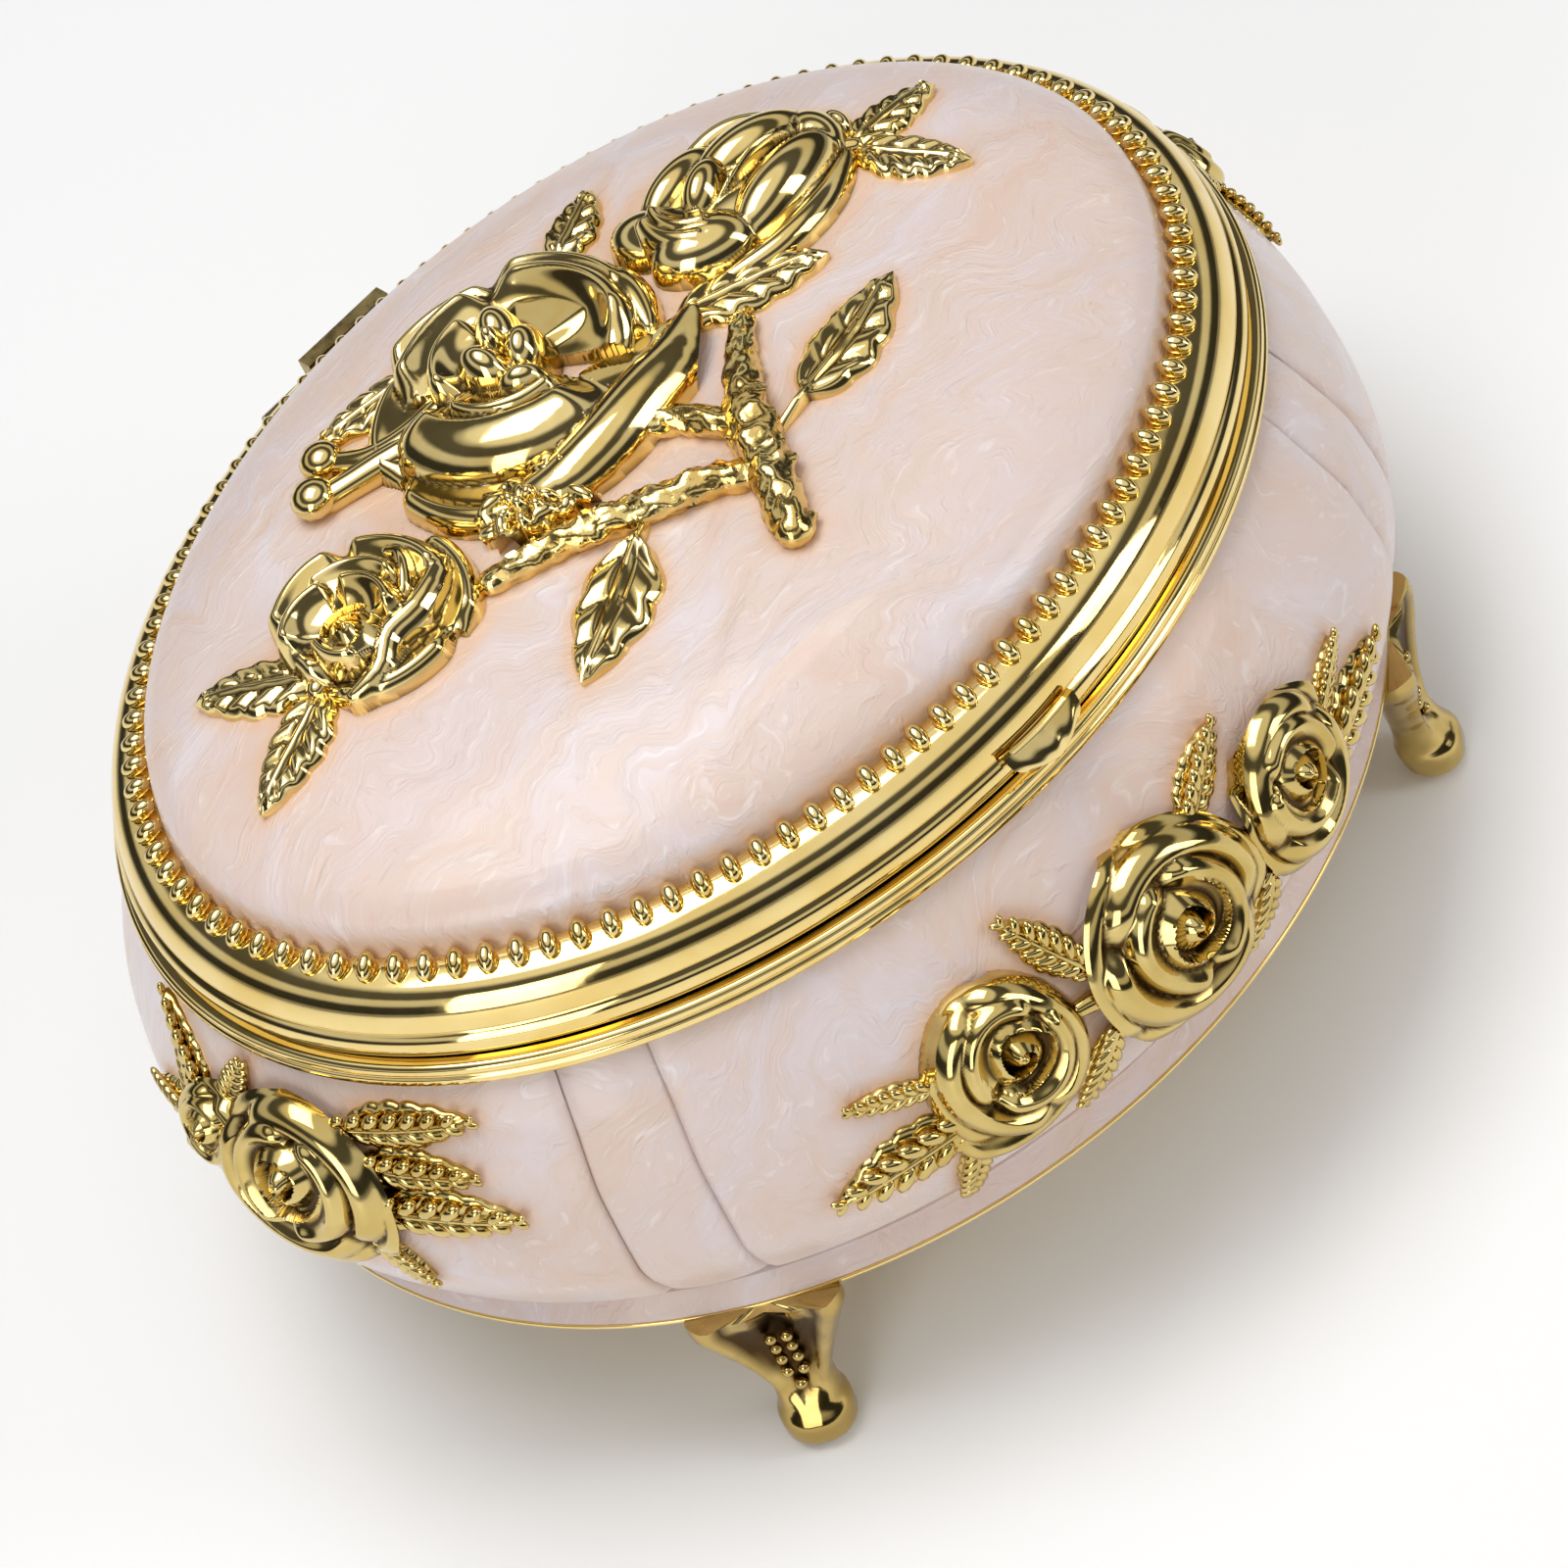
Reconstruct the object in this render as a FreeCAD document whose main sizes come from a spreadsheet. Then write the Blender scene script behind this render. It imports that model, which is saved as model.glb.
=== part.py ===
import FreeCAD, Part
import math
import os

# Oval vanity trinket box: cast gilt bowl on four feet, enamel panels, hinged domed lid with cast
# roses. Millimetres, Z up, front towards -Y, hinge towards +Y, origin on the table under the centre.

os.makedirs("parts", exist_ok=True)
doc = FreeCAD.newDocument("TrinketBox")
Vec = FreeCAD.Vector
Z_AXIS = Vec(0, 0, 1)

# ---------------------------------------------------------------- driving sizes
SIZES = {
    # bowl sections from the foot of the wall up: half length, half depth, height
    "skirt_long": 56.1, "skirt_deep": 47.2, "skirt_z": 17.4,
    "waist_long": 54.6, "waist_deep": 45.7, "waist_z": 19.3,
    "lower_long": 57.4, "lower_deep": 48.0, "lower_z": 23.0,
    "bulge_long": 59.5, "bulge_deep": 49.5, "bulge_z": 29.0,
    "upper_long": 58.6, "upper_deep": 47.6, "upper_z": 36.5,
    "neck_long": 56.1, "neck_deep": 44.4, "neck_z": 43.0,
    "mouth_long": 53.7, "mouth_deep": 41.1, "mouth_z": 47.9,
    "enamel": 1.0, "gore_step": 0.45, "wall": 1.4, "floor_top": 20.5,
    "panel_half_angle": 47.5, "gore_angle": 9.0,
    "edging_lip": 0.1, "edging_z": 17.0,
    "plate_long": 51.6, "plate_deep": 42.7, "plate_thick": 1.1,
    # rim of the bowl
    "rim_long": 54.6, "rim_deep": 41.9, "rim_top": 50.1, "rim_roll": 0.6,
    "opening_long": 51.0, "opening_deep": 38.4,
    # lid band, from the closing edge up to the beading seat
    "closing_z": 50.35, "band_long": 53.6, "band_deep": 40.9, "seat_z": 56.4,
    "seat_long": 50.2, "seat_deep": 37.5, "collar_long": 48.4, "collar_deep": 35.7, "collar_z": 54.8,
    "bead_radius": 0.8, "bead_count": 112,
    # lid dome
    "dome_foot": 56.2, "dome_rise": 9.1, "dome_metal": 1.2, "tab_width": 7.8,
    # hinge
    "pin_y": 42.3, "pin_z": 50.2, "pin_radius": 0.6, "pin_clearance": 0.05, "pin_length": 19.8,
    "barrel_radius": 1.5, "barrel_gap": 0.2, "barrel_half": 9.7, "lid_barrel_half": 4.8,
    # feet
    "foot_x": 39.4, "foot_y": 33.9, "foot_wing": 5.6, "foot_height": 17.0, "foot_turn": 45.0,
    "toe_radius": 2.9, "ankle_radius": 2.2, "lug_radius": 3.2, "lug_inset": 6.5, "lug_thick": 1.4,
    "screw_radius": 0.9, "screw_head": 1.9,
    # linings
    "flock": 0.7, "pad_long": 50.5, "pad_deep": 41.2, "pad_top": 24.6,
}
sheet = doc.addObject("Spreadsheet::Sheet", "Sizes")
for row, (alias, value) in enumerate(SIZES.items(), start=1):
    sheet.set("A%d" % row, alias)
    sheet.set("B%d" % row, str(value))
    sheet.setAlias("B%d" % row, alias)
doc.recompute()


def size(alias):
    return float(sheet.get(alias))


# ---------------------------------------------------------------- building helpers
made = {}


def keep(obj, label):
    obj.Label = label
    made[label] = obj
    return obj


def oval(name, half_length, half_depth, height):
    ring = doc.addObject("Part::Ellipse", name)
    ring.setExpression("MajorRadius", half_length)
    ring.setExpression("MinorRadius", half_depth)
    ring.setExpression("Placement.Base.z", height)
    return ring


def oval_loft(name, sections, ruled=False):
    """Solid through oval sections, each given as expressions for half length, half depth, height."""
    body = doc.addObject("Part::Loft", name)
    body.Sections = [oval("%s_ring%d" % (name, n), *s) for n, s in enumerate(sections)]
    body.Solid = True
    body.Ruled = ruled
    return body


def bowl_loft(name, inset):
    """The bowl's outside form, drawn in by an inset."""
    stations = ("waist", "lower", "bulge", "upper", "neck", "mouth")
    return oval_loft(name, [("Sizes.%s_long - (%s)" % (s, inset), "Sizes.%s_deep - (%s)" % (s, inset),
                             "Sizes.%s_z" % s) for s in stations])


def skirt_loft(name, inset):
    """The flared foot of the bowl, drawn in by an inset."""
    return oval_loft(name, [("Sizes.%s_long - (%s)" % (s, inset), "Sizes.%s_deep - (%s)" % (s, inset),
                             "Sizes.%s_z" % s) for s in ("skirt", "waist")], ruled=True)


def straight_oval(name, long, deep, low, high):
    return oval_loft(name, [(long, deep, low), (long, deep, high)], ruled=True)


def cut(name, base, tool):
    c = doc.addObject("Part::Cut", name)
    c.Base = base
    c.Tool = tool
    return c


def common(name, base, tool):
    c = doc.addObject("Part::Common", name)
    c.Base = base
    c.Tool = tool
    return c


def fuse(name, base, tool):
    c = doc.addObject("Part::Fuse", name)
    c.Base = base
    c.Tool = tool
    return c


def box(name, length, width, height, x, y, z):
    b = doc.addObject("Part::Box", name)
    for prop, value in (("Length", length), ("Width", width), ("Height", height),
                        ("Placement.Base.x", x), ("Placement.Base.y", y), ("Placement.Base.z", z)):
        b.setExpression(prop, value)
    return b


def cylinder_z(name, radius, height, x, y, z):
    c = doc.addObject("Part::Cylinder", name)
    for prop, value in (("Radius", radius), ("Height", height),
                        ("Placement.Base.x", x), ("Placement.Base.y", y), ("Placement.Base.z", z)):
        c.setExpression(prop, value)
    return c


def cylinder_x(name, radius, half, middle="0"):
    """Cylinder on the hinge line, centred at x = middle."""
    c = doc.addObject("Part::Cylinder", name)
    c.Placement = FreeCAD.Placement(Vec(0, 0, 0), FreeCAD.Rotation(Vec(0, 1, 0), 90))
    c.setExpression("Radius", radius)
    c.setExpression("Height", "2 * (%s)" % half)
    c.setExpression("Placement.Base.x", "%s - (%s)" % (middle, half))
    c.setExpression("Placement.Base.y", "Sizes.pin_y")
    c.setExpression("Placement.Base.z", "Sizes.pin_z")
    return c


def sector(name, start, sweep):
    """Pie wedge round the Z axis; angles are measured from the front, towards +X."""
    wedge = doc.addObject("Part::Cylinder", name)
    wedge.Radius = 90
    wedge.Height = 60
    wedge.setExpression("Angle", sweep)
    wedge.setExpression("Placement.Rotation.Angle", "-90 + (%s)" % start)
    return wedge


def solid_feature(name, shape):
    f = doc.addObject("Part::Feature", name)
    f.Shape = shape
    return f


# ---------------------------------------------------------------- bowl, floor and skirt
METAL = "Sizes.enamel"
CAVITY = "Sizes.enamel + Sizes.wall"
bowl_outside = bowl_loft("BowlOutside", "0")
bowl_metal = bowl_loft("BowlMetal", METAL)
bowl_cavity = bowl_loft("BowlCavity", CAVITY)
above_floor = box("AboveFloor", "140", "120", "60", "-70", "-60", "Sizes.floor_top")
cavity = common("Cavity", bowl_cavity, above_floor)
bowl_wall = cut("BowlWall", bowl_metal, cavity)
skirt_metal = skirt_loft("SkirtMetal", METAL)
skirt_hollow = skirt_loft("SkirtHollow", CAVITY)
skirt_wall = cut("SkirtWall", skirt_metal, skirt_hollow)
keep(fuse("BaseShell", bowl_wall, skirt_wall), "base_shell")

edging_out = straight_oval("EdgingOut", "Sizes.skirt_long + Sizes.edging_lip",
                           "Sizes.skirt_deep + Sizes.edging_lip", "Sizes.edging_z", "Sizes.skirt_z")
edging_in = straight_oval("EdgingIn", "Sizes.skirt_long - 2.4", "Sizes.skirt_deep - 2.4",
                          "Sizes.edging_z", "Sizes.skirt_z")
keep(cut("SkirtEdging", edging_out, edging_in), "skirt_edging")
keep(cut("SkirtEnamel", skirt_loft("SkirtOutside", "0"), skirt_metal), "skirt_enamel")

# ---------------------------------------------------------------- enamel panels and corner gores
panel_layer = cut("PanelLayer", bowl_outside, bowl_metal)
gore_layer = cut("GoreLayer", bowl_loft("GoreOutside", "Sizes.gore_step"), bowl_metal)
HALF = "Sizes.panel_half_angle"
GORE = "Sizes.gore_angle"
END_SWEEP = "180 - 2 * (%s + %s)" % (HALF, GORE)
PANELS = {
    "enamel_panel_front": ("-" + HALF, "2 * " + HALF),
    "enamel_panel_right": ("%s + %s" % (HALF, GORE), END_SWEEP),
    "enamel_panel_back": ("180 - " + HALF, "2 * " + HALF),
    "enamel_panel_left": ("180 + %s + %s" % (HALF, GORE), END_SWEEP),
}
GORES = {
    "enamel_gore_front_right": HALF,
    "enamel_gore_back_right": "180 - %s - %s" % (HALF, GORE),
    "enamel_gore_back_left": "180 + " + HALF,
    "enamel_gore_front_left": "360 - %s - %s" % (HALF, GORE),
}
for label, (start, sweep) in PANELS.items():
    keep(common(label + "_solid", panel_layer, sector(label + "_wedge", start, sweep)), label)
for label, start in GORES.items():
    keep(common(label + "_solid", gore_layer, sector(label + "_wedge", start, GORE)), label)

# ---------------------------------------------------------------- rim of the bowl, with the hinge recess
hinge_recess = cylinder_x("HingeRecess", "Sizes.barrel_radius + Sizes.barrel_gap",
                          "Sizes.barrel_half + Sizes.barrel_gap")
rim_outside = oval_loft("RimOutside", [
    ("Sizes.rim_long - 0.4", "Sizes.rim_deep - 0.4", "Sizes.mouth_z"),
    ("Sizes.rim_long", "Sizes.rim_deep", "Sizes.mouth_z + Sizes.rim_roll"),
    ("Sizes.rim_long", "Sizes.rim_deep", "Sizes.rim_top - Sizes.rim_roll"),
    ("Sizes.rim_long - 0.5", "Sizes.rim_deep - 0.5", "Sizes.rim_top")])
rim_inside = straight_oval("RimInside", "Sizes.opening_long", "Sizes.opening_deep",
                           "Sizes.mouth_z", "Sizes.rim_top")
rim_ring = cut("RimRing", rim_outside, rim_inside)
keep(cut("BaseRim", rim_ring, hinge_recess), "base_rim")

# ---------------------------------------------------------------- feet, their lugs and screws
CORNERS = {"front_left": (-1, -1), "front_right": (1, -1), "back_left": (-1, 1), "back_right": (1, 1)}
FOOT_SECTIONS = (  # half width across the knee, half thickness, height
    ("0.45 * Sizes.toe_radius", "0.45 * Sizes.toe_radius", "0"),
    ("0.9 * Sizes.toe_radius", "0.9 * Sizes.toe_radius", "0.35 * Sizes.toe_radius"),
    ("Sizes.toe_radius", "0.98 * Sizes.toe_radius", "Sizes.toe_radius"),
    ("Sizes.ankle_radius", "0.95 * Sizes.ankle_radius", "2.1 * Sizes.toe_radius"),
    ("1.3 * Sizes.ankle_radius", "Sizes.ankle_radius", "0.6 * Sizes.foot_height"),
    ("0.85 * Sizes.foot_wing", "2.5", "0.87 * Sizes.foot_height"),
    ("Sizes.foot_wing", "2.8", "Sizes.foot_height"),
)
plate = straight_oval("PlateBlank", "Sizes.plate_long", "Sizes.plate_deep", "Sizes.edging_z",
                      "Sizes.edging_z + Sizes.plate_thick")
screws = []
for corner, (sx, sy) in CORNERS.items():
    leg = oval_loft("Leg_" + corner, FOOT_SECTIONS)
    for ring in leg.Sections:
        ring.setExpression("Placement.Base.x", "%d * Sizes.foot_x" % sx)
        ring.setExpression("Placement.Base.y", "%d * Sizes.foot_y" % sy)
        ring.setExpression("Placement.Rotation.Angle", "%d * Sizes.foot_turn" % (-sx * sy))
    lug_x = "%d * (Sizes.foot_x - 0.71 * Sizes.lug_inset)" % sx
    lug_y = "%d * (Sizes.foot_y - 0.71 * Sizes.lug_inset)" % sy
    lug_z = "Sizes.foot_height - Sizes.lug_thick"
    lug = cylinder_z("Lug_" + corner, "Sizes.lug_radius", "Sizes.lug_thick", lug_x, lug_y, lug_z)
    bridge = cylinder_z("Bridge_" + corner, "Sizes.lug_radius", "Sizes.lug_thick",
                        "%d * (Sizes.foot_x - 0.35 * Sizes.lug_inset)" % sx,
                        "%d * (Sizes.foot_y - 0.35 * Sizes.lug_inset)" % sy, lug_z)
    hole = cylinder_z("LugHole_" + corner, "Sizes.screw_radius", "Sizes.lug_thick", lug_x, lug_y, lug_z)
    blank = fuse("FootBlank_" + corner, leg, fuse("Lugs_" + corner, lug, bridge))
    keep(cut("Foot_" + corner, blank, hole), "foot_" + corner)
    plate_hole = cylinder_z("PlateHole_" + corner, "Sizes.screw_radius", "Sizes.plate_thick",
                            lug_x, lug_y, "Sizes.edging_z")
    plate = cut("Plate_" + corner, plate, plate_hole)
    head = cylinder_z("ScrewHead_" + corner, "Sizes.screw_head", "0.9", lug_x, lug_y, lug_z + " - 0.9")
    shank = cylinder_z("ScrewShank_" + corner, "Sizes.screw_radius", "Sizes.lug_thick + Sizes.plate_thick",
                       lug_x, lug_y, lug_z)
    screws.append(fuse("Screw_" + corner, head, shank))
keep(plate, "bottom_plate")
screw_set = doc.addObject("Part::Compound", "FootScrews")
screw_set.Links = screws
keep(screw_set, "foot_screws")

# ---------------------------------------------------------------- linings of the bowl
flock_hollow = bowl_loft("FlockHollow", CAVITY + " + Sizes.flock")
keep(cut("BaseFlock", cavity, flock_hollow), "base_flock_lining")
keep(oval_loft("BasePad", [
    ("Sizes.pad_long - 1.6", "Sizes.pad_deep - 1.6", "Sizes.floor_top + 0.3"),
    ("Sizes.pad_long", "Sizes.pad_deep", "Sizes.floor_top + 1.6"),
    ("Sizes.pad_long - 1.6", "Sizes.pad_deep - 1.6", "Sizes.pad_top - 0.9"),
    ("Sizes.pad_long - 7", "Sizes.pad_deep - 7", "Sizes.pad_top")]), "base_cushion")

# ---------------------------------------------------------------- lid band, beading and thumb tab
band_outside = oval_loft("BandOutside", [
    ("Sizes.band_long - 0.3", "Sizes.band_deep - 0.3", "Sizes.closing_z"),
    ("Sizes.band_long", "Sizes.band_deep", "Sizes.closing_z + 0.9"),
    ("Sizes.band_long - 0.1", "Sizes.band_deep - 0.1", "Sizes.closing_z + 2.1"),
    ("Sizes.band_long - 0.7", "Sizes.band_deep - 0.7", "Sizes.closing_z + 2.9"),
    ("Sizes.band_long - 1.0", "Sizes.band_deep - 1.0", "Sizes.closing_z + 4.4"),
    ("Sizes.band_long - 2.0", "Sizes.band_deep - 2.0", "Sizes.seat_z - 0.9"),
    ("Sizes.seat_long", "Sizes.seat_deep", "Sizes.seat_z")])
band_inside = oval_loft("BandInside", [
    ("Sizes.opening_long", "Sizes.opening_deep", "Sizes.closing_z"),
    ("Sizes.opening_long - 0.2", "Sizes.opening_deep - 0.2", "Sizes.closing_z + 3"),
    ("Sizes.collar_long", "Sizes.collar_deep", "Sizes.collar_z")], ruled=True)
collar_bore = straight_oval("CollarBore", "Sizes.collar_long", "Sizes.collar_deep",
                            "Sizes.collar_z", "Sizes.seat_z")
band_hollow = cut("BandHollow", cut("BandRing", band_outside, band_inside), collar_bore)
keep(cut("LidBand", band_hollow, hinge_recess), "lid_band")

tab_block = box("TabBlock", "Sizes.tab_width", "4", "2.0", "-0.5 * Sizes.tab_width",
                "-Sizes.band_deep - 1.7", "Sizes.closing_z + 0.05")
tab_round = doc.addObject("Part::Fillet", "TabRound")
doc.recompute()
tab_round.Base = tab_block
front_edges = [n for n, e in enumerate(tab_block.Shape.Edges, start=1)
               if all(v.Point.y < -size("band_deep") - 1.6 for v in e.Vertexes)]
tab_round.Edges = [(n, 0.7, 0.7) for n in front_edges]
keep(cut("ThumbTab", tab_round, band_outside), "thumb_tab")


def oval_stations(long, deep, count):
    """Evenly spaced stations along an oval, as angles of its parameter."""
    fine = 3600
    run = [0.0]
    for n in range(1, fine + 1):
        t = 2 * math.pi * (n - 0.5) / fine
        run.append(run[-1] + math.hypot(long * math.sin(t), deep * math.cos(t)))
    angles = []
    n = 0
    for k in range(count):
        while run[n] < run[-1] * k / count:
            n += 1
        angles.append(2 * math.pi * n / fine)
    return angles


bead_long = (size("seat_long") + size("collar_long")) / 2
bead_deep = (size("seat_deep") + size("collar_deep")) / 2
beads = []
for t in oval_stations(bead_long, bead_deep, int(size("bead_count"))):
    spot = Vec(bead_long * math.cos(t), bead_deep * math.sin(t), size("seat_z") + size("bead_radius"))
    beads.append(Part.makeSphere(size("bead_radius"), spot))
keep(solid_feature("Beading", Part.makeCompound(beads)), "lid_beading")

# ---------------------------------------------------------------- lid dome: enamel, metal, lining


def dome_loft(name, inset, drop, foot):
    """Oval dome in rings, each a share of its half length and of its rise, drawn in and lowered."""
    profile = ((1.0, 0.0), (0.985, 0.30), (0.96, 0.42), (0.93, 0.50), (0.85, 0.65), (0.75, 0.76),
               (0.62, 0.84), (0.46, 0.91), (0.30, 0.965), (0.16, 1.0))
    sections = []
    for share, rise in profile:
        base = foot if rise == 0 else "Sizes.dome_foot - (%s)" % drop
        sections.append(("%g * (Sizes.collar_long - %s)" % (share, inset),
                         "%g * (Sizes.collar_deep - %s)" % (share, inset),
                         "%s + %g * Sizes.dome_rise" % (base, rise)))
    return oval_loft(name, sections, ruled=True)


dome_outside = dome_loft("DomeOutside", "0", "0", "Sizes.dome_foot")
dome_metal = dome_loft("DomeMetal", "1.0", "Sizes.dome_metal", "Sizes.dome_foot - 1.0")
dome_hollow = dome_loft("DomeHollow", "2.2", "2 * Sizes.dome_metal", "Sizes.dome_foot - 2.6")
flange = straight_oval("DomeFlange", "Sizes.collar_long", "Sizes.collar_deep",
                       "Sizes.dome_foot - 1", "Sizes.dome_foot")
keep(cut("LidEnamel", dome_outside, dome_metal), "lid_enamel")
keep(cut("LidShell", fuse("DomeBlank", dome_metal, flange), dome_hollow), "lid_shell")
pad_outside = dome_loft("LidPadOutside", "3.7", "2 * Sizes.dome_metal + 0.9", "Sizes.dome_foot - 2.2")
pad_inside = dome_loft("LidPadInside", "5.9", "2 * Sizes.dome_metal + 3.0", "Sizes.dome_foot - 4.6")
keep(cut("LidPad", pad_outside, pad_inside), "lid_padded_lining")

# ---------------------------------------------------------------- hinge
SIDE_MIDDLE = "(Sizes.barrel_half + Sizes.lid_barrel_half + 0.1) / 2"
SIDE_HALF = "(Sizes.barrel_half - Sizes.lid_barrel_half - 0.1) / 2"
pin_bore = cylinder_x("PinBore", "Sizes.pin_radius + Sizes.pin_clearance", "Sizes.barrel_half + 1")
keep(cylinder_x("HingePin", "Sizes.pin_radius", "Sizes.pin_length / 2"), "hinge_pin")

lid_plate = box("LidLeafPlate", "2 * Sizes.lid_barrel_half", "1.5", "3.2", "-Sizes.lid_barrel_half",
                "Sizes.pin_y - 1.7", "Sizes.pin_z + 0.9")
lid_barrel = cylinder_x("LidBarrel", "Sizes.barrel_radius", "Sizes.lid_barrel_half")
lid_leaf = cut("LidLeafTrim", fuse("LidLeafBlank", lid_barrel, lid_plate), band_outside)
lid_barrel_again = fuse("LidLeafWhole", lid_leaf, lid_barrel)
keep(cut("HingeLidLeaf", lid_barrel_again, pin_bore), "hinge_lid_leaf")

base_plate = box("BaseLeafPlate", "2 * Sizes.barrel_half", "2.0", "1.9", "-Sizes.barrel_half",
                 "Sizes.pin_y - 1.1", "Sizes.mouth_z")
lid_sweep = cylinder_x("LidBarrelSweep", "Sizes.barrel_radius + 0.15", "Sizes.lid_barrel_half + 0.1")
base_leaf = cut("BaseLeafTrim", cut("BaseLeafOffRim", base_plate, rim_outside), lid_sweep)
barrels = fuse("BaseBarrels", cylinder_x("BarrelLeft", "Sizes.barrel_radius", SIDE_HALF, "-" + SIDE_MIDDLE),
               cylinder_x("BarrelRight", "Sizes.barrel_radius", SIDE_HALF, SIDE_MIDDLE))
keep(cut("HingeBaseLeaf", fuse("BaseLeafWhole", base_leaf, barrels), pin_bore), "hinge_base_leaf")
doc.recompute()

# ---------------------------------------------------------------- cast flowers, leaves and branch


def rose(radius, height):
    """Open rose standing on Z: a low cup, three turns of curled petals and a bud."""
    solids = [Part.makeCone(0.9 * radius, 0.45 * radius, 0.5 * height, Vec(0, 0, -0.25 * height))]
    turns = ((5, 0.80, 0.20, -0.10, 0.62, 0), (4, 0.52, 0.12, 0.15, 0.62, 35), (3, 0.30, 0.05, 0.35, 0.6, 70))
    for count, reach, flare, low, tall, twist in turns:
        for n in range(count):
            r1 = reach * radius
            r2 = (reach + flare) * radius
            thick = 0.1 * radius
            spot = Vec(0, 0, low * height)
            sweep = 300.0 / count
            petal = Part.makeCone(r1, r2, tall * height, spot, Z_AXIS, sweep)
            petal = petal.cut(Part.makeCone(r1 - thick, r2 - thick, tall * height, spot, Z_AXIS, sweep))
            petal.rotate(Vec(0, 0, 0), Z_AXIS, twist + n * 360.0 / count)
            solids.append(petal)
    solids.append(Part.makeCone(0.2 * radius, 0.08 * radius, 0.9 * height, Vec(0, 0, 0.1 * height)))
    solids.append(Part.makeCone(0.84 * radius, 0.25 * radius, 0.45 * height, Vec(0, 0, 0)))
    return solids[0].multiFuse(solids[1:])


def leaf(length, width, thick):
    """Pointed leaf lying along X from its stem at the origin: two arcs meeting at the tip."""
    arc = (length ** 2 + width ** 2) / (4.0 * width)
    reach = arc - width / 2.0
    low = Vec(length / 2.0, -reach, -thick / 2.0)
    high = Vec(length / 2.0, reach, -thick / 2.0)
    return Part.makeCylinder(arc, thick, low).common(Part.makeCylinder(arc, thick, high))


def rod(points, radius):
    """Rounded rod through points."""
    solids = []
    for start, end in zip(points, points[1:]):
        run = end.sub(start)
        solids.append(Part.makeCylinder(radius, run.Length, start, run))
        solids.append(Part.makeSphere(radius, end))
    solids.append(Part.makeSphere(radius, points[0]))
    return solids[0].multiFuse(solids[1:])


def seat(shape, spot, normal, along=Vec(1, 0, 0)):
    """Place a shape built on Z at a spot, its Z on the surface normal and X near a direction."""
    z = Vec(normal).normalize()
    y = z.cross(along).normalize()
    x = y.cross(z)
    turn = FreeCAD.Rotation(x, y, z, "ZXY")
    placed = shape.copy()
    placed.Placement = FreeCAD.Placement(spot, turn)
    return placed


def dome_spot(x, y):
    """Height of the enamel dome over a point of the plan."""
    shell = made["lid_enamel"].Shape
    line = Part.makeLine(Vec(x, y, size("closing_z")), Vec(x, y, 80))
    return Vec(x, y, max(v.Z for v in line.common(shell).Vertexes))


def dome_normal(x, y):
    step = 0.5
    du = dome_spot(x + step, y).sub(dome_spot(x - step, y))
    dv = dome_spot(x, y + step).sub(dome_spot(x, y - step))
    return du.cross(dv)


def wall_spot(angle, height):
    """Point on the bowl's outside; angle from the front towards +X, by the oval's parameter."""
    names = ("skirt", "waist", "lower", "bulge", "upper", "neck", "mouth")
    low, high = [(a, b) for a, b in zip(names, names[1:]) if size(a + "_z") <= height][-1]
    share = (height - size(low + "_z")) / (size(high + "_z") - size(low + "_z"))
    long = size(low + "_long") + share * (size(high + "_long") - size(low + "_long"))
    deep = size(low + "_deep") + share * (size(high + "_deep") - size(low + "_deep"))
    t = math.radians(angle)
    return Vec(long * math.sin(t), -deep * math.cos(t), height)


def wall_normal(angle, height):
    around = wall_spot(angle + 1, height).sub(wall_spot(angle - 1, height))
    upward = wall_spot(angle, height + 2).sub(wall_spot(angle, height - 2))
    return around.cross(upward)


def clear_of(shape, other):
    """Cut a neighbour away; if corners still lie inside it, turn the piece a hair and cut again."""
    for turn in (0, 0.15, -0.15, 0.4, -0.4, 0.8, -0.8):
        piece = shape.copy()
        piece.rotate(Vec(0, 0, 0), Z_AXIS, turn)
        left = piece.cut(other)
        block = other.Solids[0] if len(other.Solids) == 1 else None
        inside = [v for v in left.Vertexes if block and block.isInside(v.Point, 0.03, False)]
        if left.isValid() and not inside:
            return left
    raise RuntimeError("a casting could not be cleared of its neighbour")


def trim(shape, others):
    """Cut neighbours away and drop crumbs."""
    for other in others:
        if shape.BoundBox.intersect(other.BoundBox):
            shape = clear_of(shape, other)
    solids = [s for s in shape.Solids if s.Volume > 1.5]
    return solids[0] if len(solids) == 1 else Part.makeCompound(solids)


def trimmed_together(shapes, others):
    """Trim each piece against its neighbours, then join them into one casting."""
    clear = [trim(shape, others) for shape in shapes]
    solids = [solid for shape in clear for solid in shape.Solids]
    joined = solids[0].multiFuse(solids[1:]) if len(solids) > 1 else solids[0]
    return joined if len(joined.Solids) > 1 else joined.Solids[0]


dome_block = dome_outside.Shape
placed = [dome_block, made["lid_shell"].Shape, made["lid_beading"].Shape]


def lid_rose(label, x, y, radius, height, lean=(0, 0)):
    normal = dome_normal(x, y).normalize().add(Vec(lean[0], lean[1], 0))
    shape = trim(seat(rose(radius, height), dome_spot(x, y), normal), placed)
    placed.append(shape)
    keep(solid_feature(label + "_solid", shape), label)


def lid_leaf_at(x, y, heading, length, width):
    """Leaf with its stem at x, y, pointing along a compass heading counted from +X."""
    t = math.radians(heading)
    way = Vec(math.cos(t), math.sin(t), 0)
    mx = x + 0.5 * length * way.x
    my = y + 0.5 * length * way.y
    middle = dome_spot(mx, my)
    blade = leaf(length, width, 2.2)
    blade.translate(Vec(-length / 2.0, 0, 0.1))
    return seat(blade, middle, dome_normal(mx, my), way)


def lid_rod(path, radius):
    return rod([dome_spot(x, y).add(Vec(0, 0, 0.2)) for x, y in path], radius)


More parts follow.
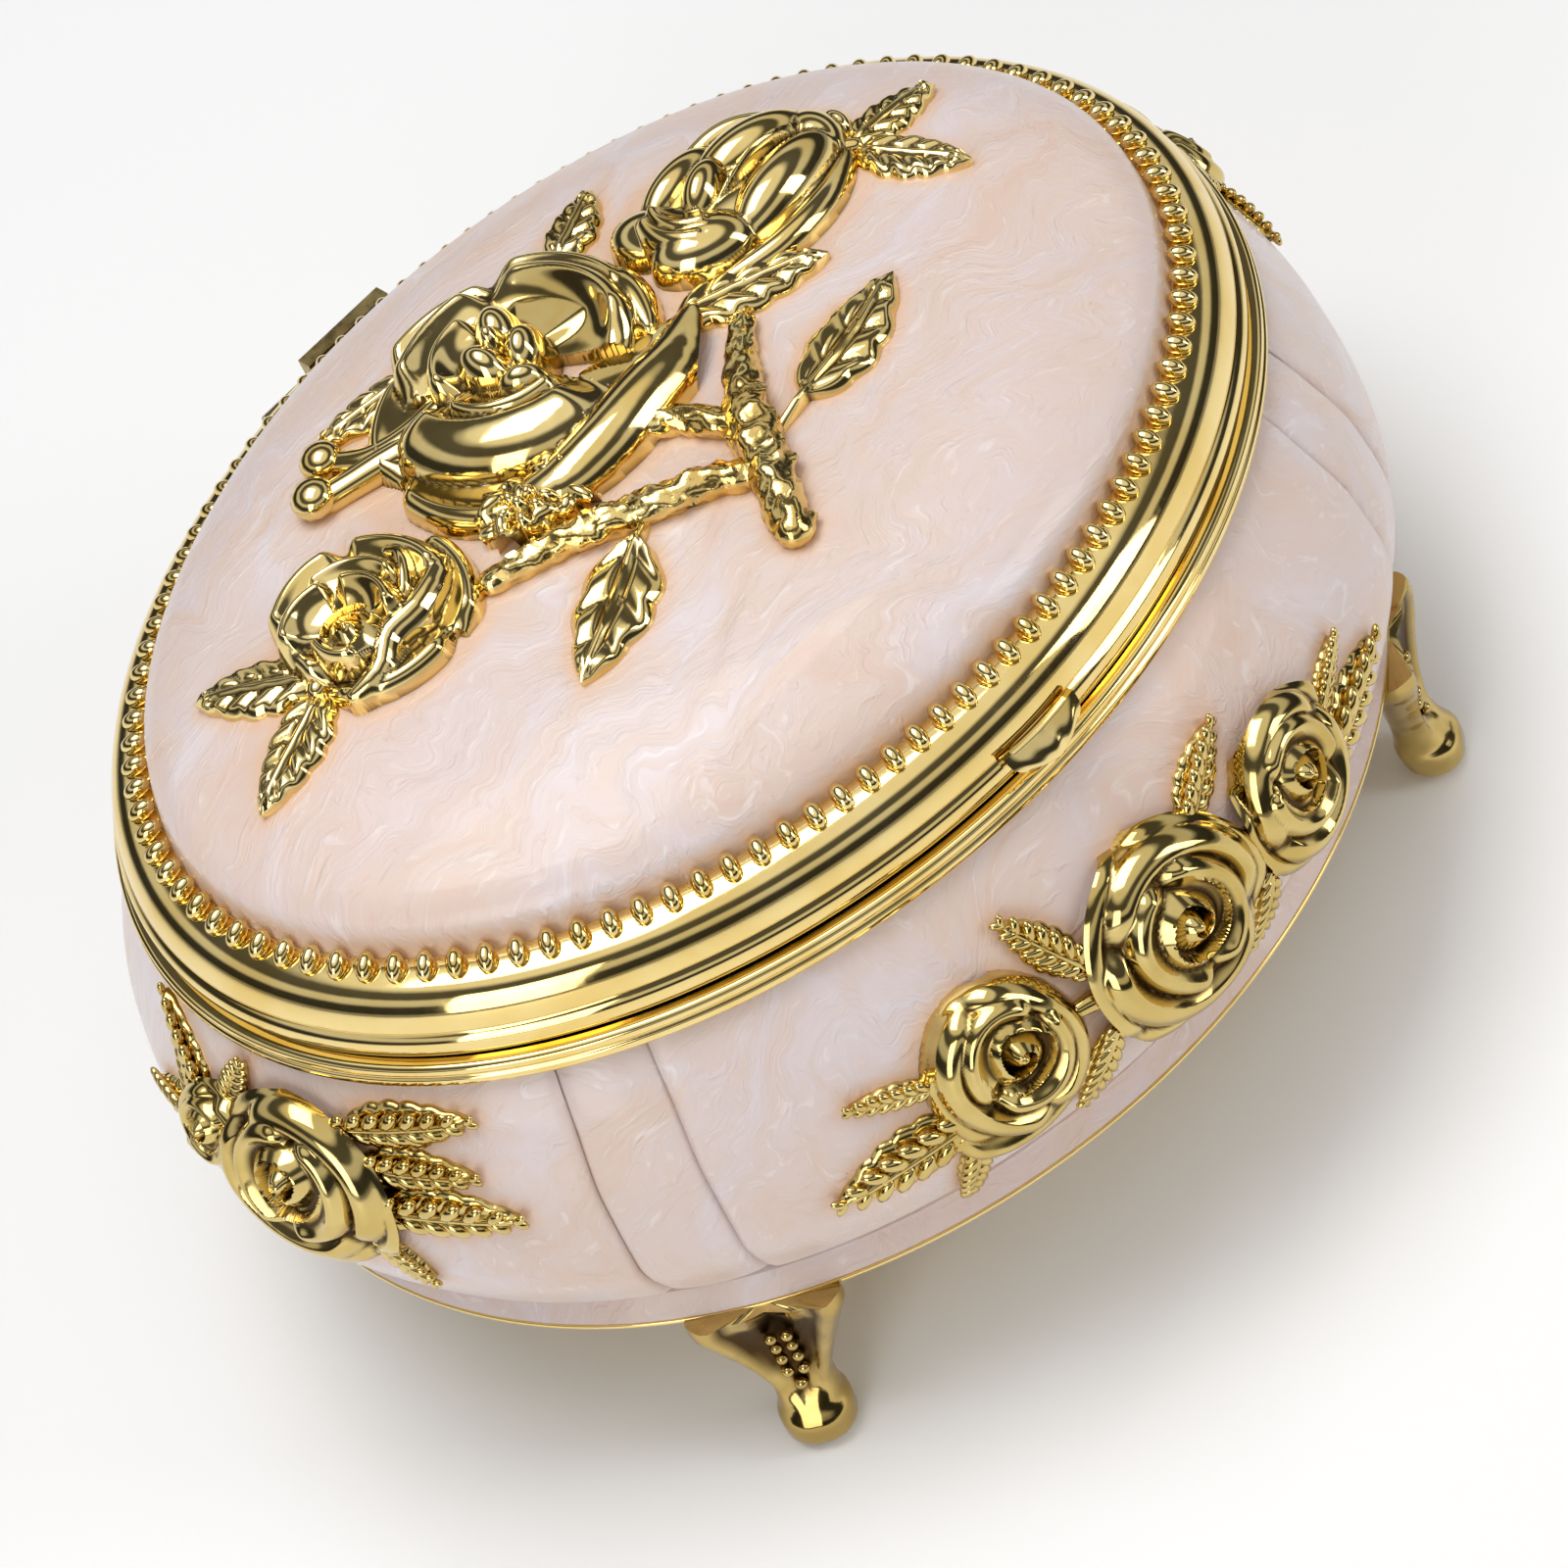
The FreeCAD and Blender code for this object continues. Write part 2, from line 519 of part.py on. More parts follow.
def lid_cast(label, shapes):
    shape = trimmed_together(shapes, placed)
    placed.append(shape)
    keep(solid_feature(label + "_solid", shape), label)


lid_rose("lid_rose_centre", -2.3, 9.0, 12.0, 5.4)
lid_rose("lid_rose_right", 23.0, 8.2, 8.8, 4.8, (0.1, 0.0))
lid_rose("lid_rose_left", -24.3, 3.2, 8.4, 4.8)
lid_cast("lid_branch", [
    lid_rod([(11, -3), (4.5, -10.5), (1.5, -15.5), (-1, -20.5)], 1.6),
    lid_rod([(-17, -2.5), (-7.5, -8), (0.5, -13.5)], 1.5),
    lid_rod([(-8, -1), (2, -4), (4, -10)], 1.4),
    lid_rod([(3, -12), (8, -11.5)], 0.8),
    lid_leaf_at(7, -11.5, 12, 16, 5.5),
    lid_leaf_at(-7, -9, 205, 15, 6.0),
    lid_leaf_at(10, 1.0, -15, 12.5, 5.0),
    lid_rod([(10, -3.4), (11, -1.4)], 1.4)])
lid_cast("lid_leaves_right", [lid_leaf_at(31, 10, -18, 12.5, 5.2), lid_leaf_at(28.5, 6.5, -50, 11, 5.0),
                              lid_rod([(26, 10), (31, 9), (33, 8)], 1.0)])
lid_cast("lid_leaves_left", [lid_leaf_at(-32, 3, 125, 11, 5.0), lid_leaf_at(-33, 2, 200, 10, 4.8),
                             lid_rod([(-27, 5), (-33, 3)], 1.0)])
lid_cast("lid_leaves_centre", [lid_leaf_at(10, 20, 25, 11, 5.0), lid_leaf_at(-5, 19, 160, 11, 4.6)])
lid_cast("lid_buds", [lid_rod([(-6, 14), (-12.5, 15.2), (-15.5, 17.5)], 0.9),
                      Part.makeSphere(1.9, dome_spot(-16, 20).add(Vec(0, 0, 0.6))),
                      Part.makeSphere(1.9, dome_spot(-19, 17.5).add(Vec(0, 0, 0.6))),
                      lid_rod([(-19, 17.5), (-15.5, 18.5), (-16, 20)], 0.8)])
lid_cast("lid_florets", [Part.makeSphere(1.8, dome_spot(x, y).add(Vec(0, 0, 0.8)))
                         for x, y in ((-15, 0), (-12, 1.5), (-11, -1.5), (-8.5, 1.5), (-13.5, -2.5))]
         + [lid_rod([(-15, 0), (-11, -1.5), (-8.5, 1.5), (-12, 1.5), (-13.5, -2.5)], 0.9)])

def wall_leaf(angle, height, heading, length, width):
    """Leaf on the wall; its heading is counted from the horizontal, anticlockwise seen from outside."""
    t = math.radians(heading)
    normal = wall_normal(angle, height).normalize()
    around = Z_AXIS.cross(normal).normalize()
    rise = normal.cross(around)
    way = around.multiply(math.cos(t)).add(rise.multiply(math.sin(t)))
    blade = leaf(length, width, 2.4)
    blade.translate(Vec(0, 0, 0.1))
    return seat(blade, wall_spot(angle, height), normal, way)


def wall_rose(angle, height, radius, tall):
    return seat(rose(radius, tall), wall_spot(angle, height), wall_normal(angle, height), Z_AXIS)


def wall_rod(path, radius):
    return rod([wall_spot(a, h) for a, h in path], radius)


def wall_spray(label, roses, leaves, stem):
    shapes = [wall_rose(*r) for r in roses] + [wall_leaf(*f) for f in leaves] + [wall_rod(stem, 1.6)]
    shape = trimmed_together(shapes, [bowl_outside.Shape])
    keep(solid_feature(label + "_solid", shape), label)


SIDE_ROSES = ((-17, 33.8, 6.6, 4.0), (-0.3, 33.3, 7.5, 4.4), (15.5, 32.8, 6.3, 4.0))
SIDE_LEAVES = ((-22, 36, 170, 6.5, 2.4), (-21.5, 32, 188, 11.5, 4.4), (-20.5, 29.5, 240, 7, 2.8),
               (-8.5, 36.5, 115, 7.5, 3), (-9, 30, 235, 6.5, 2.6), (7.5, 38, 50, 6.5, 2.8),
               (7.5, 29.5, 250, 6.5, 2.6), (20.5, 30.5, 4, 11, 4.0), (20.5, 34.5, 28, 5.5, 2.2))
SIDE_STEM = ((-22, 32.5), (-16, 32.5), (-8, 33), (0, 33), (8, 33), (16, 32.5), (21, 31.5))
END_ROSES = ((10.8, 37.4, 7.2, 4.2), (0.6, 39.4, 3.8, 3.2))
END_LEAVES = ((17.2, 43.2, 6, 9.5, 3.6), (18, 40.6, 0, 9, 3.6), (18.5, 37.2, -3, 10.5, 4.4),
              (15.5, 33.6, -35, 5.5, 2.4), (-3, 41.5, 135, 8.5, 3), (-5.5, 38, 115, 7, 2.8))
END_STEM = ((-6, 38.6), (0, 38.8), (8, 37.6), (16, 38.2))


def turned_copy(label, source):
    """The same casting set on the opposite side of the bowl."""
    shape = made[source].Shape.copy()
    shape.rotate(Vec(0, 0, 0), Z_AXIS, 180)
    keep(solid_feature(label + "_solid", shape), label)


def about(middle, rows):
    return [(middle + row[0],) + tuple(row[1:]) for row in rows]


wall_spray("rose_spray_front", SIDE_ROSES, SIDE_LEAVES, SIDE_STEM)
turned_copy("rose_spray_back", "rose_spray_front")
wall_spray("rose_spray_left", about(270, END_ROSES), about(270, END_LEAVES), about(270, END_STEM))
turned_copy("rose_spray_right", "rose_spray_left")

# ---------------------------------------------------------------- check and write
doc.recompute()
for obj in doc.Objects:
    if "Invalid" in obj.State or "Error" in obj.State:
        raise RuntimeError("object %s is in state %s" % (obj.Name, obj.State))
for label, obj in made.items():
    shape = obj.Shape
    if shape.isNull() or not shape.isValid() or not shape.Solids:
        raise RuntimeError("node %s has no valid solid" % label)
    print(label, "solids", len(shape.Solids), "volume %.1f" % shape.Volume)
    shape.exportStep("parts/%s.step" % label)
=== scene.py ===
import bpy, bmesh, math, random
from mathutils import Vector, Matrix, noise
from mathutils.kdtree import KDTree


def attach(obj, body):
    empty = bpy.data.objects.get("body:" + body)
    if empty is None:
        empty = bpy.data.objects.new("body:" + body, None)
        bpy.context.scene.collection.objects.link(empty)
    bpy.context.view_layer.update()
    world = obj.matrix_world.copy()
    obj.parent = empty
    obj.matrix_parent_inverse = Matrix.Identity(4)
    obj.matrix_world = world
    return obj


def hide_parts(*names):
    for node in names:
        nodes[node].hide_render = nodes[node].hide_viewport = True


# Oval vanity trinket box. Pieces are drawn in millimetres and turned to metres when they are made.
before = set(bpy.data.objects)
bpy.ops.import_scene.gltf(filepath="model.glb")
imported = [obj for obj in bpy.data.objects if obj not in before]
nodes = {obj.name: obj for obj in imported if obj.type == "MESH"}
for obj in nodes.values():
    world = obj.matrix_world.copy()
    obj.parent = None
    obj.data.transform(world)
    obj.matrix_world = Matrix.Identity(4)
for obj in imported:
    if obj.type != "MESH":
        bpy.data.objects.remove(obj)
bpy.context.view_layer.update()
MM = 0.001
TAU = 2 * math.pi


# ------------------------------------------------------------------ small helpers
def smooth_line(stations):
    """Monotone curve through (place, value, value...) stations; returns a function of place."""
    xs = [s[0] for s in stations]
    columns = list(zip(*[s[1:] for s in stations]))
    slopes = []
    for column in columns:
        steps = [(column[i + 1] - column[i]) / (xs[i + 1] - xs[i]) for i in range(len(xs) - 1)]
        line = [steps[0]]
        for i in range(1, len(steps)):
            a, b = steps[i - 1], steps[i]
            line.append(0.0 if a * b <= 0 else 2 * a * b / (a + b))
        slopes.append(line + [steps[-1]])

    def value(x):
        x = min(max(x, xs[0]), xs[-1])
        i = max(0, min(len(xs) - 2, sum(1 for v in xs[1:-1] if v <= x)))
        w = xs[i + 1] - xs[i]
        t = (x - xs[i]) / w
        out = []
        for column, line in zip(columns, slopes):
            out.append((2 * t ** 3 - 3 * t ** 2 + 1) * column[i] + (t ** 3 - 2 * t ** 2 + t) * w * line[i]
                       + (3 * t ** 2 - 2 * t ** 3) * column[i + 1] + (t ** 3 - t ** 2) * w * line[i + 1])
        return out

    return value


def rounded(points, count):
    """Points along a Catmull-Rom line through the given ones."""
    pts = [Vector(p) for p in points]
    n = len(pts)
    out = []
    for k in range(count):
        s = (n - 1) * k / (count - 1)
        i = min(int(s), n - 2)
        t = s - i
        b, c = pts[i], pts[i + 1]
        a = pts[i - 1] if i > 0 else b + (b - c)
        d = pts[i + 2] if i + 2 < n else c + (c - b)
        out.append(0.5 * ((2 * b) + (c - a) * t + (2 * a - 5 * b + 4 * c - d) * t ** 2
                          + (3 * b - a - 3 * c + d) * t ** 3))
    return out


class Clay:
    """Vertices in millimetres and faces of one piece while it is shaped."""

    def __init__(self):
        self.points = []
        self.faces = []

    def skin(self, rows, wrap=False, loop=False, caps=False):
        """Quads between rows of points; wrap closes each row, loop joins the last row to the first."""
        base = len(self.points)
        wide = len(rows[0])
        for row in rows:
            self.points.extend(Vector(p) for p in row)
        tall = len(rows)
        for i in range(tall if loop else tall - 1):
            j = (i + 1) % tall
            for k in range(wide if wrap else wide - 1):
                m = (k + 1) % wide
                self.faces.append((base + i * wide + k, base + i * wide + m,
                                   base + j * wide + m, base + j * wide + k))
        if caps:
            for i in (0, tall - 1):
                middle = sum((Vector(p) for p in rows[i]), Vector()) / wide
                self.points.append(middle)
                top = len(self.points) - 1
                for k in range(wide):
                    self.faces.append((base + i * wide + k, base + i * wide + (k + 1) % wide, top))

    def plate(self, top, bottom):
        """Closed plate between two grids of the same size."""
        wide, tall = len(top[0]), len(top)
        rim = [(0, k) for k in range(wide)] + [(i, wide - 1) for i in range(1, tall)]
        rim += [(tall - 1, k) for k in range(wide - 2, -1, -1)] + [(i, 0) for i in range(tall - 2, 0, -1)]
        base = len(self.points)
        self.skin(top)
        under = len(self.points)
        self.skin(bottom)
        for a, b in zip(rim, rim[1:] + rim[:1]):
            self.faces.append((base + a[0] * wide + a[1], base + b[0] * wide + b[1],
                               under + b[0] * wide + b[1], under + a[0] * wide + a[1]))

    def blob(self, middle, axes, rings=8, sides=12):
        """Closed ellipsoid with three half axes given as vectors."""
        ax, ay, az = (Vector(a) for a in axes)
        base = len(self.points)
        middle = Vector(middle)
        self.points.append(middle - az)
        for i in range(1, rings):
            t = math.pi * i / rings
            for k in range(sides):
                a = TAU * k / sides
                self.points.append(middle + (ax * math.cos(a) + ay * math.sin(a)) * math.sin(t)
                                   - az * math.cos(t))
        self.points.append(middle + az)
        last = len(self.points) - 1
        for k in range(sides):
            m = (k + 1) % sides
            self.faces.append((base, base + 1 + m, base + 1 + k))
            self.faces.append((last, last - sides + k, last - sides + m))
            for i in range(rings - 2):
                p = base + 1 + i * sides
                self.faces.append((p + k, p + m, p + sides + m, p + sides + k))


def fire(name, clay, body, finish, replaces=(), slot=None, crease=50):
    """Turns clay into a finished piece that rides on a body."""
    mesh = bpy.data.meshes.new(name)
    mesh.from_pydata([p * MM for p in clay.points], [], clay.faces)
    bm = bmesh.new()
    bm.from_mesh(mesh)
    bmesh.ops.dissolve_degenerate(bm, dist=1e-7, edges=bm.edges)
    bmesh.ops.recalc_face_normals(bm, faces=bm.faces)
    for face in bm.faces:
        face.smooth = True
    limit = math.radians(crease)
    for edge in bm.edges:
        edge.smooth = not (len(edge.link_faces) == 2 and edge.calc_face_angle(0) > limit)
    bm.to_mesh(mesh)
    bm.free()
    piece = on_stage(name, mesh)
    dress(piece, body, finish, replaces)
    return piece


def on_stage(name, data):
    """Object with the given data, linked into the scene."""
    thing = bpy.data.objects.new(name, data)
    bpy.context.scene.collection.objects.link(thing)
    return thing


def dress(piece, body, finish, replaces=()):
    """Gives a piece its finish, its body and the castings it stands for."""
    piece.data.materials.clear()
    piece.data.materials.append(finish)
    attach(piece, body)
    if replaces:
        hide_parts(*replaces)


# ------------------------------------------------------------------ the box's own surfaces
COLLAR = (48.4, 35.7)
DOME_FOOT = 56.2
DOME_RISE = 9.1
dome_line = smooth_line([(0.0, 1.005), (0.16, 1.0), (0.46, 0.90), (0.75, 0.76), (0.93, 0.50),
                         (0.985, 0.30), (1.0, 0.0)])
wall_line = smooth_line([(17.4, 56.1, 47.2), (19.3, 54.6, 45.7), (23.0, 57.4, 48.0), (29.0, 59.5, 49.5),
                         (36.5, 58.6, 47.6), (43.0, 56.1, 44.4), (47.9, 53.7, 41.1)])


def dome_height(x, y):
    """Height of the enamel dome over a point of the plan."""
    return DOME_FOOT + DOME_RISE * dome_line(min(1.0, math.hypot(x / COLLAR[0], y / COLLAR[1])))[0]


def dome_point(x, y, lift=0.0):
    """Point over the enamel dome, raised along its normal."""
    step = 0.4
    dx = (dome_height(x + step, y) - dome_height(x - step, y)) / (2 * step)
    dy = (dome_height(x, y + step) - dome_height(x, y - step)) / (2 * step)
    return Vector((x, y, dome_height(x, y))) + Vector((-dx, -dy, 1)).normalized() * lift


def wall_point(angle, z, lift=0.0):
    """Point on the bowl; angle in degrees from the front towards +X, raised along the normal."""
    t = math.radians(angle)
    a, b = wall_line(z)
    high, low = wall_line(z + 0.5), wall_line(z - 0.5)
    around = Vector((a * math.cos(t), b * math.sin(t), 0))
    up = Vector(((high[0] - low[0]) * math.sin(t), -(high[1] - low[1]) * math.cos(t), 1.0))
    return Vector((a * math.sin(t), -b * math.cos(t), z)) + around.cross(up).normalized() * lift


def on_dome(cx, cy, turn=0.0):
    """Chart on the dome: x, y in millimetres from a middle, turned, and a lift."""
    c, s = math.cos(math.radians(turn)), math.sin(math.radians(turn))

    def at(x, y, lift):
        return dome_point(cx + c * x - s * y, cy + s * x + c * y, lift)

    return at


def on_wall(angle, z):
    """Chart on the bowl: x to the right and y up as seen from outside."""
    a, b = wall_line(z)
    t = math.radians(angle)
    per_degree = math.hypot(a * math.cos(t), b * math.sin(t)) * math.pi / 180
    up = (wall_point(angle, z + 0.5) - wall_point(angle, z - 0.5)).length

    def at(x, y, lift):
        return wall_point(angle + x / per_degree, z + y / up, lift)

    return at


# ------------------------------------------------------------------ finishes
class Mix:
    """Short way to lay out a node finish."""

    def __init__(self, name):
        self.finish = bpy.data.materials.new(name)
        self.finish.use_nodes = True
        self.tree = self.finish.node_tree
        self.shader = self.tree.nodes["Principled BSDF"]
        self.coords = self.tree.nodes.new("ShaderNodeTexCoord").outputs["Object"]

    def join(self, a, b):
        self.tree.links.new(a, b)

    def set(self, **values):
        for key, value in values.items():
            self.shader.inputs[key.replace("_", " ")].default_value = value

    def scaled(self, scale, turn=(0, 0, 0), source=None):
        node = self.tree.nodes.new("ShaderNodeMapping")
        node.inputs["Scale"].default_value = scale
        node.inputs["Rotation"].default_value = [math.radians(v) for v in turn]
        self.join(source or self.coords, node.inputs["Vector"])
        return node.outputs[0]

    def noise(self, scale, detail, rough=0.5, warp=0.0, source=None):
        node = self.tree.nodes.new("ShaderNodeTexNoise")
        node.inputs["Scale"].default_value = scale
        node.inputs["Detail"].default_value = detail
        node.inputs["Roughness"].default_value = rough
        node.inputs["Distortion"].default_value = warp
        self.join(source or self.coords, node.inputs["Vector"])
        return node.outputs

    def ramp(self, value, stops):
        node = self.tree.nodes.new("ShaderNodeValToRGB")
        ramp = node.color_ramp
        while len(ramp.elements) < len(stops):
            ramp.elements.new(0.5)
        for element, (place, colour) in zip(ramp.elements, stops):
            element.position = place
            element.color = (*colour, 1)
        self.join(value, node.inputs["Fac"])
        return node.outputs["Color"]

    def blend(self, share, a, b):
        node = self.tree.nodes.new("ShaderNodeMix")
        node.data_type = "RGBA"
        for socket, value in ((node.inputs[0], share), (node.inputs[6], a), (node.inputs[7], b)):
            if isinstance(value, bpy.types.NodeSocket):
                self.join(value, socket)
            elif isinstance(value, (int, float)):
                socket.default_value = value
            else:
                socket.default_value = (*value, 1)
        return node.outputs[2]

    def times(self, a, share):
        node = self.tree.nodes.new("ShaderNodeMath")
        node.operation = "MULTIPLY"
        self.join(a, node.inputs[0])
        node.inputs[1].default_value = share
        return node.outputs[0]

    def bump(self, height, strength, distance):
        node = self.tree.nodes.new("ShaderNodeBump")
        node.inputs["Strength"].default_value = strength
        node.inputs["Distance"].default_value = distance
        self.join(height, node.inputs["Height"])
        previous = self.shader.inputs["Normal"]
        if previous.is_linked:
            self.join(previous.links[0].from_socket, node.inputs["Normal"])
        self.join(node.outputs[0], previous)


def gilt_finish(name, colour, deep, rough, ripple=0.25, grain=0.0, recess_shade=0.0):
    """Polished gilding: slow colour drift, fine polish haze, uneven cast skin, and painted shade darkening the
    recesses to brown.
    """
    m = Mix(name)
    m.set(Metallic=1.0)
    drift = m.noise(160, 3, 0.5, 0.4)[0]
    tone = m.ramp(drift, [(0.35, deep), (0.62, colour)])
    haze = m.noise(900, 2)[0]
    dull = m.ramp(haze, [(0.3, (rough * 0.7,) * 3), (0.75, (rough * 1.5,) * 3)])
    # Painted shade: the hollows of the casting are darkened to dark brown and dulled.
    if recess_shade:
        held = m.tree.nodes.new("ShaderNodeAttribute")
        held.attribute_name = "recess_shade_mask"
        share = m.times(held.outputs["Fac"], recess_shade)
        tone = m.blend(share, tone, (0.075, 0.040, 0.012))
        dull = m.blend(share, dull, (0.34, 0.34, 0.34))
    m.join(tone, m.shader.inputs["Base Color"])
    m.join(dull, m.shader.inputs["Roughness"])
    m.bump(m.noise(330, 2, 0.45)[0], ripple, 0.00012)
    if grain:
        m.bump(m.noise(2600, 3)[0], grain, 0.00006)
    return m.finish


def pearl_finish(name):
    """Poured pearl enamel: cloudy swirls, drawn mica streaks, a peach tone on the enamel close to the gilding.
    """
    m = Mix(name)
    wander = m.noise(42, 3, 0.5, 0.9)[1]
    bent = m.tree.nodes.new("ShaderNodeVectorMath")
    bent.operation = "MULTIPLY_ADD"
    m.join(wander, bent.inputs[0])
    bent.inputs[1].default_value = (0.022, 0.022, 0.016)
    m.join(m.coords, bent.inputs[2])
    flow = m.scaled((1, 2.6, 1.4), (0, 0, 24), bent.outputs[0])
    clouds = m.noise(46, 5, 0.58, 1.1, flow)[0]
    body = m.ramp(clouds, [(0.30, (0.745, 0.555, 0.460)), (0.44, (0.755, 0.605, 0.535)),
                           (0.56, (0.750, 0.625, 0.595)), (0.70, (0.775, 0.690, 0.705))])
    patches = m.ramp(m.noise(24, 2, 0.5, 0.6)[0], [(0.52, (0, 0, 0)), (0.72, (1, 1, 1))])
    warm = m.blend(m.times(patches, 0.40), body, (0.84, 0.575, 0.44))
    streak_flow = m.scaled((1, 7.5, 3.0), (0, 0, -32), bent.outputs[0])
    streaks = m.noise(120, 3, 0.55, 1.5, streak_flow)[0]
    glint = m.ramp(streaks, [(0.60, (0, 0, 0)), (0.70, (1, 1, 1))])
    pale = m.blend(m.times(glint, 0.42), warm, (0.90, 0.84, 0.83))
    halo = m.tree.nodes.new("ShaderNodeAttribute")
    halo.attribute_name = "gilding_nearness"
    # Peach tone on the enamel, stronger the closer it lies to cast gilding.
    edge = m.blend(m.times(halo.outputs["Fac"], 0.85), pale, (0.82, 0.50, 0.30))
    m.join(edge, m.shader.inputs["Base Color"])
    m.set(Roughness=0.42, IOR=1.48, Coat_Weight=0.35, Coat_Roughness=0.10, Metallic=0.0,
          Subsurface_Weight=0.12, Subsurface_Scale=0.002, Sheen_Weight=0.08)
    m.shader.inputs["Subsurface Radius"].default_value = (1.0, 0.5, 0.35)
    m.bump(streaks, 0.45, 0.0003)
    m.bump(clouds, 0.25, 0.0005)
    strokes = m.noise(210, 2, 0.5, 0.8, m.scaled((1, 5.0, 2.4), (0, 0, 38), bent.outputs[0]))[0]
    m.bump(m.ramp(strokes, [(0.60, (0, 0, 0)), (0.66, (1, 1, 1))]), 0.30, 0.00018)
    return m.finish


def velvet_finish(name, colour, light):
    """Short velvet pile, brushed light and dark in patches."""
    m = Mix(name)
    pile = m.noise(1500, 4, 0.6)[0]
    brushed = m.noise(60, 3, 0.5, 0.8)[0]
    mottled = m.blend(m.ramp(brushed, [(0.38, (0, 0, 0)), (0.66, (1, 1, 1))]), colour, light)
    m.join(m.blend(m.times(pile, 0.5), mottled, tuple(c * 0.45 for c in colour)),
           m.shader.inputs["Base Color"])
    m.set(Roughness=0.95, Sheen_Weight=0.9, Sheen_Roughness=0.35, Specular_IOR_Level=0.2)
    m.shader.inputs["Sheen Tint"].default_value = (1.0, 0.75, 0.78, 1)
    m.bump(pile, 0.8, 0.0004)
    return m.finish


def steel_finish(name):
    """Bright steel with a fine brushed grain."""
    m = Mix(name)
    m.set(Metallic=1.0)
    brush = m.noise(700, 3, 0.5, 0.0, m.scaled((1, 6, 6)))[0]
    m.join(m.ramp(brush, [(0.3, (0.46, 0.45, 0.43)), (0.7, (0.66, 0.65, 0.62))]),
           m.shader.inputs["Base Color"])
    m.join(m.ramp(brush, [(0.3, (0.2,) * 3), (0.7, (0.36,) * 3)]), m.shader.inputs["Roughness"])
    m.bump(brush, 0.2, 0.00005)
    return m.finish


gilt = gilt_finish("polished gilt", (0.90, 0.71, 0.31), (0.80, 0.58, 0.19), 0.08, recess_shade=0.95)
# Darker copy of the gilding for the bowl's sprays and ferns: painted shade standing in for dark reflections.
gilt_shaded = gilt_finish("shaded gilt", (0.70, 0.54, 0.21), (0.58, 0.42, 0.13), 0.09, recess_shade=1.0)
# Darker still for the feet: painted shade standing in for dark reflections.
gilt_feet_shaded = gilt_finish("shaded foot gilt", (0.62, 0.46, 0.17), (0.46, 0.32, 0.10), 0.10, ripple=0.5, recess_shade=1.0)
gilt_band = gilt_finish("band gilt", (0.92, 0.72, 0.31), (0.86, 0.63, 0.22), 0.07, ripple=0.10)
gilt_bark = gilt_finish("bark gilt", (0.92, 0.71, 0.28), (0.80, 0.55, 0.17), 0.11, 0.8, 0.5, recess_shade=0.9)
gilt_plain = gilt_finish("inside gilt", (0.80, 0.62, 0.31), (0.72, 0.53, 0.24), 0.22, ripple=0.5, grain=0.4)
hinge_brass = gilt_finish("hinge brass", (0.50, 0.38, 0.16), (0.36, 0.26, 0.10), 0.30, ripple=0.5, grain=0.5)
steel = steel_finish("bright steel")
pearl = pearl_finish("pearl enamel")
velvet = velvet_finish("rose velvet", (0.33, 0.045, 0.085), (0.52, 0.10, 0.16))


# ------------------------------------------------------------------ oval bands, domes and wall panels
def oval_hoop(section, long, deep, sides=288):
    """Closed cross-section of (outward, height) carried round an oval. Rows for Clay.skin."""
    rows = []
    for i in range(sides):
        t = math.radians(360.0 * i / sides)
        rows.append([Vector(((long + out) * math.sin(t), -(deep + out) * math.cos(t), z))
                     for out, z in section])
    return rows


def hoop_piece(name, section, long, deep, body, finish, **words):
    """Finished hoop of one cross-section."""
    clay = Clay()
    clay.skin(oval_hoop(section, long, deep), wrap=True, loop=True)
    return fire(name, clay, body, finish, **words)


def fillet_line(corners, radius=0.25, steps=3):
    """Closed section whose corners are softened."""
    out = []
    n = len(corners)
    for i in range(n):
        before, here, after = (Vector(corners[(i + j) % n]) for j in (-1, 0, 1))
        r = min(radius, (before - here).length * 0.45, (after - here).length * 0.45)
        a = here + (before - here).normalized() * r
        b = here + (after - here).normalized() * r
        for k in range(steps + 1):
            t = k / steps
            out.append(tuple((1 - t) ** 2 * a + 2 * t * (1 - t) * here + t ** 2 * b))
    return out


BAND = (53.6, 40.9)
band_roll = [(-0.5, 50.38), (-0.1, 50.75), (0.0, 51.4), (-0.04, 51.9), (-0.22, 52.35), (-0.5, 52.55)]
band_sweep = [(-0.66, 52.72), (-0.64, 53.1), (-0.78, 53.7), (-1.02, 54.4), (-1.42, 55.1), (-2.0, 55.72),
              (-2.75, 56.15), (-3.6, 56.38), (-4.4, 56.45), (-5.1, 56.4)]
band_back = [(-5.2, 56.4), (-5.2, 54.8), (-3.2, 53.4), (-2.7, 50.38)]
lid_band = hoop_piece("lid_band_gilt", band_roll + band_sweep + fillet_line(band_back, 0.2)[1:-1],
                      *BAND, "lid", gilt_band, slot="gilt", crease=34)

# the band and the rim are pressed in round the hinge barrel
BARREL_HALF = 9.9
BARREL_ROOM = 1.72
HINGE_Y, HINGE_Z = 42.3, 50.2


def open_for_hinge(piece, low, high):
    """Presses the back of a hoop clear of the hinge barrel."""
    for v in piece.data.vertices:
        x, y, z = v.co / MM
        if abs(x) < BARREL_HALF and y > 0 and low <= z <= high:
            away = Vector((0, y - HINGE_Y, z - HINGE_Z))
            if away.length < BARREL_ROOM:
                away = away.normalized() * BARREL_ROOM if away.length > 1e-6 else Vector((0, -BARREL_ROOM, 0))
                v.co = Vector((x, HINGE_Y + away.y, HINGE_Z + away.z)) * MM
    piece.data.update()


open_for_hinge(lid_band, 50.3, 53)
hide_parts("lid_band")

